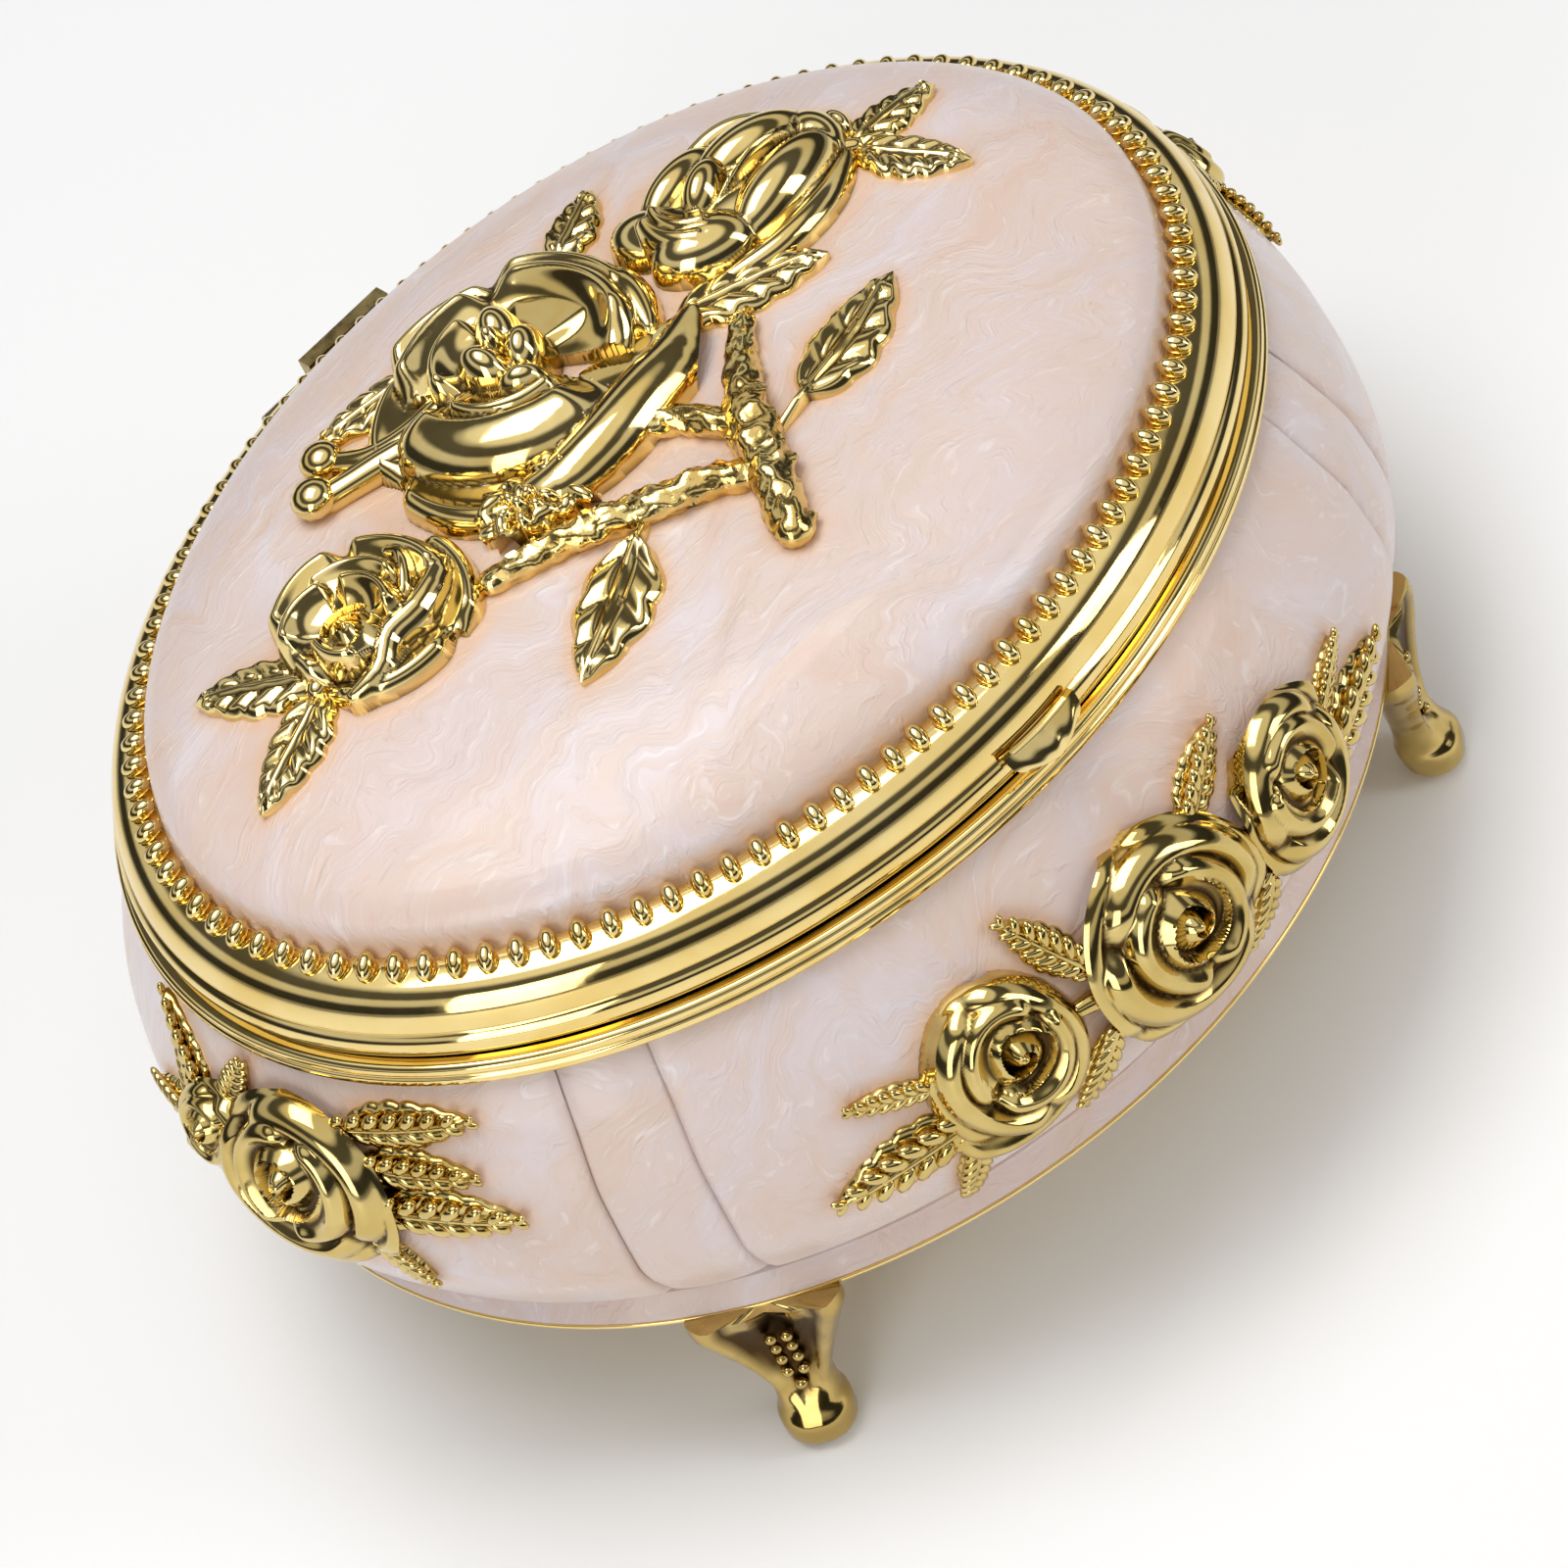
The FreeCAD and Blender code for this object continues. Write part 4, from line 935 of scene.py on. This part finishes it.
# ------------------------------------------------------------------ repeated beads, by geometry nodes
class Tree:
    """Short way to lay out a geometry node tree with named sizes."""

    def __init__(self, name, sizes):
        self.group = bpy.data.node_groups.new(name, "GeometryNodeTree")
        face = self.group.interface
        face.new_socket("Geometry", in_out="INPUT", socket_type="NodeSocketGeometry")
        self.keys = {}
        for key, kind in sizes.items():
            self.keys[key] = face.new_socket(key, in_out="INPUT", socket_type=kind).identifier
        face.new_socket("Geometry", in_out="OUTPUT", socket_type="NodeSocketGeometry")
        self.given = self.group.nodes.new("NodeGroupInput").outputs
        self.result = self.group.nodes.new("NodeGroupOutput").inputs[0]

    def add(self, kind, links=(), **settings):
        node = self.group.nodes.new(kind)
        for key, value in settings.items():
            setattr(node, key, value)
        for socket, source in dict(links).items():
            target = node.inputs[socket]
            if isinstance(source, bpy.types.NodeSocket):
                self.group.links.new(source, target)
            else:
                target.default_value = source
        return node

    def finish(self, geometry, material):
        real = self.add("GeometryNodeRealizeInstances", {"Geometry": geometry})
        smooth = self.add("GeometryNodeSetShadeSmooth", {"Geometry": real.outputs[0]})
        painted = self.add("GeometryNodeSetMaterial", {"Geometry": smooth.outputs[0], "Material": material})
        self.group.links.new(painted.outputs[0], self.result)


def bead_row_tree():
    """Long beads set side by side along a line, leaning out from it."""
    tree = Tree("bead row", {"Count": "NodeSocketInt", "Length": "NodeSocketFloat", "Width": "NodeSocketFloat",
                             "Height": "NodeSocketFloat", "Lean": "NodeSocketFloat",
                             "Material": "NodeSocketMaterial"})
    line = tree.add("GeometryNodeMeshToCurve", {"Mesh": tree.given["Geometry"]})
    spaced = tree.add("GeometryNodeCurveToPoints", {"Curve": line.outputs[0], "Count": tree.given["Count"]},
                      mode="COUNT")
    sphere = tree.add("GeometryNodeMeshUVSphere", {"Segments": 14, "Rings": 8, "Radius": 1.0})
    shape = tree.add("ShaderNodeCombineXYZ", {"X": tree.given["Length"], "Y": tree.given["Width"],
                                              "Z": tree.given["Height"]})
    sized = tree.add("GeometryNodeTransform", {"Geometry": sphere.outputs[0], "Scale": shape.outputs[0]})
    turn = tree.add("ShaderNodeCombineXYZ", {"X": 0.0, "Y": tree.given["Lean"], "Z": 0.0})
    leaning = tree.add("GeometryNodeTransform", {"Geometry": sized.outputs[0], "Rotation": turn.outputs[0]})
    aim = tree.add("FunctionNodeAlignRotationToVector", {"Vector": spaced.outputs["Tangent"]}, axis="Y",
                   pivot_axis="Z")
    placed = tree.add("GeometryNodeInstanceOnPoints",
                      {"Points": spaced.outputs["Points"], "Instance": leaning.outputs[0],
                       "Rotation": aim.outputs[0]})
    tree.finish(placed.outputs[0], tree.given["Material"])
    return tree


def frond_tree():
    """Fern leaf: a tapering midrib with pairs of small beads that shrink towards its tip."""
    tree = Tree("beaded frond", {"Pairs": "NodeSocketInt", "Bead": "NodeSocketFloat", "Rib": "NodeSocketFloat",
                                 "Material": "NodeSocketMaterial"})
    count = tree.add("ShaderNodeMath", {0: tree.given["Pairs"], 1: 1.0}, operation="ADD")
    share = tree.add("GeometryNodeSplineParameter")
    line = tree.add("GeometryNodeMeshToCurve", {"Mesh": tree.given["Geometry"]})
    keep_place = tree.add("GeometryNodeStoreNamedAttribute",
                          {"Geometry": line.outputs[0], "Name": "run", "Value": share.outputs["Factor"]},
                          data_type="FLOAT", domain="POINT")
    spaced = tree.add("GeometryNodeCurveToPoints", {"Curve": keep_place.outputs[0], "Count": count.outputs[0]},
                      mode="COUNT")
    run = tree.add("GeometryNodeInputNamedAttribute", {"Name": "run"}, data_type="FLOAT")
    wide = tree.add("GeometryNodeInputNamedAttribute", {"Name": "half_width"}, data_type="FLOAT")
    taper = tree.add("ShaderNodeMapRange", {"Value": run.outputs["Attribute"], "From Min": 0.0, "From Max": 1.0,
                                            "To Min": 1.0, "To Max": 0.35})
    out = tree.add("GeometryNodeInputNamedAttribute", {"Name": "outward"}, data_type="FLOAT_VECTOR")
    across = tree.add("ShaderNodeVectorMath", {0: spaced.outputs["Tangent"], 1: out.outputs["Attribute"]},
                      operation="CROSS_PRODUCT")
    reach = tree.add("ShaderNodeMath", {0: wide.outputs["Attribute"], 1: 0.82}, operation="MULTIPLY")
    halves = []
    for side in (0.62, -0.62):
        span = tree.add("ShaderNodeMath", {0: reach.outputs[0], 1: side}, operation="MULTIPLY")
        shift = tree.add("ShaderNodeVectorMath", {0: across.outputs[0], "Scale": span.outputs[0]},
                         operation="SCALE")
        moved = tree.add("GeometryNodeSetPosition", {"Geometry": spaced.outputs["Points"],
                                                     "Offset": shift.outputs[0]})
        lean = tree.add("ShaderNodeVectorMath", {0: across.outputs[0], "Scale": math.copysign(0.9, side)},
                        operation="SCALE")
        way = tree.add("ShaderNodeVectorMath", {0: spaced.outputs["Tangent"], 1: lean.outputs[0]},
                       operation="ADD")
        bead = tree.add("GeometryNodeMeshUVSphere", {"Segments": 10, "Rings": 6, "Radius": tree.given["Bead"]})
        oblong = tree.add("GeometryNodeTransform", {"Geometry": bead.outputs[0], "Scale": (1.0, 1.0, 2.0)})
        aim = tree.add("FunctionNodeAlignRotationToVector", {"Vector": way.outputs[0]}, axis="Z")
        size = tree.add("ShaderNodeMapRange", {"Value": wide.outputs["Attribute"], "From Min": 0.0,
                                               "From Max": 2.4 * MM, "To Min": 0.55, "To Max": 1.25})
        placed = tree.add("GeometryNodeInstanceOnPoints",
                          {"Points": moved.outputs[0], "Instance": oblong.outputs[0],
                           "Rotation": aim.outputs[0], "Scale": size.outputs["Result"]})
        halves.append(placed.outputs[0])
    rib_size = tree.add("ShaderNodeMath", {0: taper.outputs["Result"], 1: tree.given["Rib"]},
                        operation="MULTIPLY")
    round_rib = tree.add("GeometryNodeCurvePrimitiveCircle", {"Resolution": 8, "Radius": 1.0}, mode="RADIUS")
    thin = tree.add("GeometryNodeSetCurveRadius", {"Curve": keep_place.outputs[0],
                                                   "Radius": rib_size.outputs[0]})
    rib = tree.add("GeometryNodeCurveToMesh", {"Curve": thin.outputs[0], "Profile Curve": round_rib.outputs[0],
                                               "Fill Caps": True})
    if "Scale" in rib.inputs:
        tree.group.links.new(rib_size.outputs[0], rib.inputs["Scale"])
    joined = tree.add("GeometryNodeJoinGeometry")
    for part in halves + [rib.outputs[0]]:
        tree.group.links.new(part, joined.inputs[0])
    tree.finish(joined.outputs[0], tree.given["Material"])
    return tree


def grow(name, tree, source, sizes, body, finish, replaces=()):
    """Runs a tree on a source object and keeps the result as a plain mesh piece."""
    work = on_stage(name + "_source", source)
    modifier = work.modifiers.new("beads", "NODES")
    modifier.node_group = tree.group
    for key, value in sizes.items():
        modifier[tree.keys[key]] = value
    modifier[tree.keys["Material"]] = finish
    held = work.evaluated_get(bpy.context.evaluated_depsgraph_get())
    mesh = bpy.data.meshes.new_from_object(held)
    mesh.name = name
    work.modifiers.clear()
    bpy.data.objects.remove(work)
    piece = on_stage(name, mesh)
    for key in ("run", "half_width", "outward"):
        if key in mesh.attributes:
            mesh.attributes.remove(mesh.attributes[key])
    dress(piece, body, finish, replaces)
    return piece


def line_mesh(name, lines, closed=False, halves=None):
    """Edges along one or more lines, in metres, with a half width and an outward way at every point."""
    spots = [Vector(p) * MM for points in lines for p in points]
    edges, start = [], 0
    for points in lines:
        edges += [(start + k, start + k + 1) for k in range(len(points) - 1)]
        if closed:
            edges.append((start + len(points) - 1, start))
        start += len(points)
    mesh = bpy.data.meshes.new(name)
    mesh.from_pydata(spots, edges, [])
    wide = mesh.attributes.new("half_width", "FLOAT", "POINT")
    out = mesh.attributes.new("outward", "FLOAT_VECTOR", "POINT")
    widths = []
    for points, half in zip(lines, halves or [0] * len(lines)):
        for k in range(len(points)):
            u = k / (len(points) - 1)
            widths.append(half * (0.22 + 0.78 * math.sin(math.pi * min(1, 0.22 + 0.78 * u)) ** 0.8))
    for n, (spot, half) in enumerate(zip(spots, widths)):
        wide.data[n].value = half * MM
        out.data[n].vector = Vector((spot.x / 59.5 ** 2, spot.y / 49.5 ** 2, 0)).normalized()
    return mesh


BEAD_OUT, BEAD_Z, BEAD_STEPS = 1.15, 56.85, 720
bead_oval = [((COLLAR[0] + BEAD_OUT) * math.sin(TAU * k / BEAD_STEPS),
              -(COLLAR[1] + BEAD_OUT) * math.cos(TAU * k / BEAD_STEPS), BEAD_Z) for k in range(BEAD_STEPS)]
beads = grow("lid_beading_gilt", bead_row_tree(), line_mesh("bead_line", [bead_oval], closed=True),
             {"Count": 112, "Length": 1.25 * MM, "Width": 0.76 * MM, "Height": 0.80 * MM, "Lean": 0.40},
             "lid", gilt, replaces=("lid_beading",))
ornaments.append(beads)

fern = frond_tree()
for side in ("front", "back", "left", "right"):
    name = "rose_spray_" + side
    lines = [points for owner, points, half in SPRAY_FRONDS if owner == name + "_cast"]
    halves = [half for owner, points, half in SPRAY_FRONDS if owner == name + "_cast"]
    source = line_mesh(name + "_cast_fern", lines, halves=halves)
    ornaments.append(grow(name + "_ferns", fern, source,
                          {"Pairs": 7, "Bead": 0.54 * MM, "Rib": 0.40 * MM}, "base", gilt_shaded))


# ------------------------------------------------------------------ feet, tab
def foot(name, sx, sy, replaces):
    """Cast foot: winged knee hollowed in front, narrow ankle, ball toe."""
    clay = Clay()
    out = Vector((sx * 0.66, sy * 0.75, 0)).normalized()
    side = Vector((-out.y, out.x, 0))
    middle = Vector((sx * 39.0, sy * 33.6, 0))
    stations = smooth_line([  # height, half width, half depth, outward shift, hollow
        (0.0, 1.1, 1.1, 1.2, 0.0), (0.5, 2.4, 2.3, 1.2, 0.0), (1.6, 3.15, 3.1, 1.1, 0.0),
        (3.0, 3.2, 3.2, 0.9, 0.0), (4.6, 2.7, 2.6, 0.5, 0.2), (6.4, 2.65, 2.3, 0.2, 0.9),
        (9.0, 3.4, 2.4, 0.1, 1.7), (12.0, 4.6, 2.7, 0.2, 2.3), (14.5, 5.7, 3.1, 0.4, 2.6),
        (16.3, 6.6, 3.3, 0.5, 2.4), (17.0, 6.5, 3.0, 0.5, 1.9)])
    sides = 40
    rows = []
    for i in range(52):
        z = 17.0 * (i / 51)
        half, deep, shift, hollow = stations(z)
        row = []
        for k in range(sides):
            a = TAU * k / sides
            c, s = math.cos(a), math.sin(a)
            dent = hollow * max(0.0, s) ** 2 * (1 - min(1, abs(c) * 1.35) ** 4)
            dent += 0.22 * hollow * max(0.0, s) * math.cos(5.5 * c) ** 2
            rise = 0.0
            if z > 13:
                rise = 1.5 * ((z - 13) / 4) ** 2 * abs(c) ** 3 * max(0.0, s + 0.35)
            spot = middle + side * half * c + out * (deep * s * (0.9 + 0.1 * abs(c)) + shift - dent)
            row.append((spot.x, spot.y, z + rise))
        rows.append(row)
    clay.skin(rows, wrap=True, caps=True)
    for level, pairs in ((13.2, 2), (11.6, 2), (10.0, 2), (8.4, 2), (6.9, 1)):
        half, deep, shift, hollow = stations(level)
        for n in range(pairs):
            across = (n - (pairs - 1) / 2) * 1.35
            spot = middle + side * across + out * (deep + shift - hollow * 0.9)
            clay.blob((spot.x, spot.y, level), (side * 0.55, out * 0.5, (0, 0, 0.55)))
    lug = Vector((sx * (39.4 - 4.6), sy * (33.9 - 4.6), 0))
    for spot in (lug, (lug + middle) / 2):
        ring = [[(spot.x + 3.2 * math.cos(TAU * k / 32), spot.y + 3.2 * math.sin(TAU * k / 32), z)
                 for k in range(32)] for z in (15.6, 15.62, 16.98, 17.0)]
        clay.skin(ring, wrap=True, caps=True)
    # The foot's darker gilding is painted shade.
    return fire(name, clay, "base", gilt_feet_shaded, replaces=replaces, slot="gilt", crease=55)


for corner, (sx, sy) in {"front_left": (-1, -1), "front_right": (1, -1), "back_left": (-1, 1),
                         "back_right": (1, 1)}.items():
    ornaments.append(foot("foot_%s_cast" % corner, sx, sy, ("foot_" + corner,)))


def thumb_tab():
    """Little shell lip on the front of the lid band."""
    clay = Clay()
    top, under = [], []
    for i in range(21):
        u = i / 20
        row, back = [], []
        for k in range(33):
            v = -1 + 2 * k / 32
            half = 3.9 * math.sqrt(max(0.0, 1 - (u * 0.96) ** 2.6))
            x = v * half
            wall = -40.9 * math.sqrt(1 - (x / 53.6) ** 2)
            ridge = 0.10 * math.cos(v * 3.2 * math.pi) * u * (1 - u ** 4)
            lift = 0.25 + 1.45 * math.sin(u * math.pi / 2) * (1 - 0.3 * v * v)
            z = 52.9 - 2.35 * u + 0.25 * v * v
            row.append((x, wall - lift - ridge, z))
            back.append((x, wall + 0.4, z - 0.1))
        top.append(row)
        under.append(back)
    clay.plate(top, under)
    return fire("thumb_tab_cast", clay, "lid", gilt, replaces=("thumb_tab",), slot="gilt", crease=60)


thumb_tab()


# ------------------------------------------------------------------ peach colour beside the gilding
def gilding_nearness(pieces, gilded, reach):
    """Stores how near each enamel point is to cast gilding."""
    spots = [v.co.copy() for piece in gilded for v in piece.data.vertices]
    tree = KDTree(len(spots))
    for n, spot in enumerate(spots):
        tree.insert(spot, n)
    tree.balance()
    for piece in pieces:
        layer = piece.data.attributes.new("gilding_nearness", "FLOAT", "POINT")
        for v in piece.data.vertices:
            gap = tree.find(v.co)[2] / MM
            layer.data[v.index].value = max(0.0, 1 - gap / reach) ** 1.6 if gap < reach else 0.0


gilding_nearness([dome_skin] + panel_skins, ornaments, 1.6)


def store_recess_shade(piece, depth=0.14, passes=10):
    """Stores how deep each point lies in a hollow of its own casting, the mask of the painted shade in its
    recesses.
    """
    points = [v.co.copy() for v in piece.data.vertices]
    links = [[] for p in points]
    for edge in piece.data.edges:
        a, b = edge.vertices
        links[a].append(b)
        links[b].append(a)
    soft = points
    for step in range(passes):
        soft = [sum((soft[n] for n in near), Vector()) / len(near) * 0.5 + soft[k] * 0.5 if near else soft[k]
                for k, near in enumerate(links)]
    layer = piece.data.attributes.new("recess_shade_mask", "FLOAT", "POINT")
    for v, p, q in zip(piece.data.vertices, points, soft):
        sunk = (q - p).dot(v.normal) / MM / depth
        layer.data[v.index].value = min(1.0, max(0.0, sunk - 0.08))


# Painted shade: each casting's hollows are marked here for darkening in its gilding.
for piece in ornaments:
    if piece.name.startswith("foot_"):
        store_recess_shade(piece, 0.16, 60)
    elif piece.name.startswith("rose_spray") and "_ferns" not in piece.name:
        store_recess_shade(piece, 0.11, 20)
    elif not piece.name.startswith("lid_beading") and "_ferns" not in piece.name:
        store_recess_shade(piece)


# ------------------------------------------------------------------ linings and cushions
def oval_pad(stations, long, deep):
    """Oval cushion from rings of (share, height)."""
    clay = Clay()
    sides = 120
    rows = []
    for share, z in stations:
        rows.append([(share * long * math.cos(TAU * k / sides), share * deep * math.sin(TAU * k / sides), z)
                     for k in range(sides)])
    clay.skin(rows, wrap=True, caps=True)
    return clay


def swell(piece, pressure, cap):
    """Inflates a pad with cloth, holding every point within a cap of where it began."""
    start = [v.co.copy() for v in piece.data.vertices]
    cloth = piece.modifiers.new("cloth", "CLOTH")
    cloth.settings.use_pressure = True
    cloth.settings.uniform_pressure_force = pressure
    cloth.settings.effector_weights.gravity = 0
    cloth.settings.quality = 5
    cloth.settings.tension_stiffness = 20
    cloth.settings.compression_stiffness = 12
    scene = bpy.context.scene
    for step in range(1, 13):
        scene.frame_set(step)
    held = piece.evaluated_get(bpy.context.evaluated_depsgraph_get())
    moved = [v.co.copy() for v in held.data.vertices]
    piece.modifiers.clear()
    scene.frame_set(1)
    for v, a, b in zip(piece.data.vertices, start, moved):
        shift = b - a
        if shift.length > cap * MM:
            shift = shift.normalized() * cap * MM
        v.co = a + shift
    piece.data.update()


def base_cushion():
    """Velvet floor pad with a rolled edge, swollen by cloth."""
    stations = [(0.02, 20.9), (0.5, 20.9), (0.9, 20.9), (0.965, 21.3), (0.985, 22.0), (0.965, 22.7)]
    stations += [(0.95 - 0.045 * k, 23.0 + 0.75 * min(1, k / 7)) for k in range(20)] + [(0.02, 23.8)]
    clay = oval_pad(stations, 50.0, 40.7)
    piece = fire("base_cushion_velvet", clay, "base", velvet, replaces=("base_cushion",), slot="velvet",
                 crease=80)
    swell(piece, 3.0, 0.7)
    return piece


def lid_lining():
    """Padded lining that follows the dome from inside, drawn in at seven buttons."""
    clay = Clay()
    sides = 96
    shares = [0.02] + [0.06 + 0.045 * k for k in range(21)]
    buttons = [(0, 0), (0.5, 0), (-0.5, 0), (0.22, 0.55), (-0.22, 0.55), (0.22, -0.55), (-0.22, -0.55)]
    upper, lower = [], []
    for s in shares:
        high, low = [], []
        for k in range(sides):
            a = TAU * k / sides
            x, y = s * math.cos(a), s * math.sin(a)
            z = DOME_FOOT - 3.2 + DOME_RISE * dome_line(s * 0.985)[0]
            dent = sum(math.exp(-((x - bx) ** 2 + (y - by) ** 2) / 0.012) for bx, by in buttons)
            puff = 2.2 - 0.9 * min(1.0, dent) - 1.3 * max(0.0, (s - 0.8) / 0.2) ** 2
            high.append((x * 44.6, y * 31.9, z - 0.3))
            low.append((x * 44.6, y * 31.9, z - 0.3 - max(0.35, puff)))
        upper.append(high)
        lower.append(low)
    clay.skin(upper + list(reversed(lower)), wrap=True, caps=True)
    piece = fire("lid_lining_velvet", clay, "lid", velvet, replaces=("lid_padded_lining",), slot="velvet",
                 crease=80)
    swell(piece, 1.5, 0.25)
    return piece


def flock_lining():
    """Thin flocked coat on the bowl's inner wall."""
    clay = Clay()
    rows = []
    levels = [20.55 + (47.6 - 20.55) * k / 30 for k in range(31)]
    for inset, order in ((2.42, levels), (3.1, list(reversed(levels)))):
        for z in order:
            a, b = wall_line(z)
            rows.append([((a - inset) * math.cos(TAU * k / 180), (b - inset) * math.sin(TAU * k / 180), z)
                         for k in range(180)])
    clay.skin(rows, wrap=True, loop=True)
    return fire("base_flock_velvet", clay, "base", velvet, replaces=("base_flock_lining",), slot="velvet",
                crease=60)


base_cushion()
lid_lining()
flock_lining()


# ------------------------------------------------------------------ carried-over castings
def refinish(node, finish):
    """New finish on a casting that is shown as it came."""
    piece = nodes[node]
    for slot in piece.material_slots:
        slot.material = finish
    if not piece.material_slots:
        raise RuntimeError("node %s has no material slot" % node)


for node, finish in {"base_shell": gilt_plain, "bottom_plate": gilt_plain, "lid_shell": gilt_plain,
                     "hinge_lid_leaf": hinge_brass, "hinge_base_leaf": hinge_brass, "hinge_pin": steel,
                     "foot_screws": steel}.items():
    refinish(node, finish)


# ------------------------------------------------------------------ table, light and camera
def table_finish():
    """Pale matt paper."""
    m = Mix("pale table")
    m.join(m.ramp(m.noise(6, 2)[0], [(0.3, (0.96, 0.96, 0.96)), (0.7, (0.97, 0.97, 0.97))]),
           m.shader.inputs["Base Color"])
    m.set(Roughness=0.6, Specular_IOR_Level=0.2)
    return m.finish


TABLE = 0.9
table_mesh = bpy.data.meshes.new("table")
table_mesh.from_pydata([(-TABLE, -TABLE, 0), (TABLE, -TABLE, 0), (TABLE, TABLE, 0), (-TABLE, TABLE, 0)], [],
                       [(0, 1, 2, 3)])
table = on_stage("table", table_mesh)
table.data.materials.append(table_finish())


def softbox(name, place, target, size, power):
    """White rectangular lamp facing a point."""
    lamp = bpy.data.lights.new(name, "AREA")
    lamp.shape = "RECTANGLE"
    lamp.size, lamp.size_y = size
    lamp.energy = power
    light = on_stage(name, lamp)
    light.location = place
    light.rotation_mode = "QUATERNION"
    light.rotation_quaternion = (Vector(target) - Vector(place)).to_track_quat("-Z", "Y")


softbox("overhead", (-0.05, 0.10, 0.75), (0, 0, 0.04), (0.50, 0.36), 2.6)
softbox("left front", (-0.60, -0.35, 0.30), (0, 0, 0.04), (0.30, 0.50), 1.3)
softbox("right front", (0.45, -0.55, 0.35), (0, 0, 0.04), (0.22, 0.45), 1.1)


def studio():
    """Surroundings in level rings, dark and bright by turns, for the gilding to mirror."""
    world = bpy.data.worlds.new("studio")
    bpy.context.scene.world = world
    world.use_nodes = True
    sky = world.node_tree
    place = sky.nodes.new("ShaderNodeTexCoord")
    split = sky.nodes.new("ShaderNodeSeparateXYZ")
    sky.links.new(place.outputs["Generated"], split.inputs[0])
    fade = sky.nodes.new("ShaderNodeValToRGB")
    sky.links.new(split.outputs["Z"], fade.inputs["Fac"])
    rings = fade.color_ramp.elements
    for spot, shade in ((0.06, 0.04), (0.30, 0.05), (0.40, 0.75), (0.55, 0.80), (0.62, 0.10), (0.78, 0.12),
                        (0.86, 1.1)):
        rings.new(spot).color = (shade, shade, shade, 1)
    rings[0].color = (0.35, 0.35, 0.35, 1)
    rings[-1].color = (1.1, 1.1, 1.1, 1)
    sky.links.new(fade.outputs["Color"], sky.nodes["Background"].inputs["Color"])
    sky.nodes["Background"].inputs["Strength"].default_value = 0.8


def camera(target, distance, turn, tilt, roll, lens):
    """Camera at a distance in metres from a target in millimetres, its three angles in degrees."""
    data = bpy.data.cameras.new("camera")
    data.sensor_width = 36
    data.lens = lens
    data.clip_start = 0.01
    viewer = on_stage("camera", data)
    bpy.context.scene.camera = viewer
    turn, tilt, roll = (math.radians(v) for v in (turn, tilt, roll))
    back = Vector((math.sin(turn) * math.cos(tilt), -math.cos(turn) * math.cos(tilt), math.sin(tilt)))
    right = Vector((math.cos(turn), math.sin(turn), 0))
    up = back.cross(right)
    tilted_right = math.cos(roll) * right + math.sin(roll) * up
    tilted_up = -math.sin(roll) * right + math.cos(roll) * up
    pose = Matrix((tilted_right, tilted_up, back)).transposed().to_4x4()
    pose.translation = Vector(target) * MM + back * distance
    viewer.matrix_world = pose


studio()
camera((-4.95, -7.61, 28.59), 0.37454, -25.74, 48.04, -25.93, 103.9)
bpy.context.scene.view_settings.view_transform = "Standard"
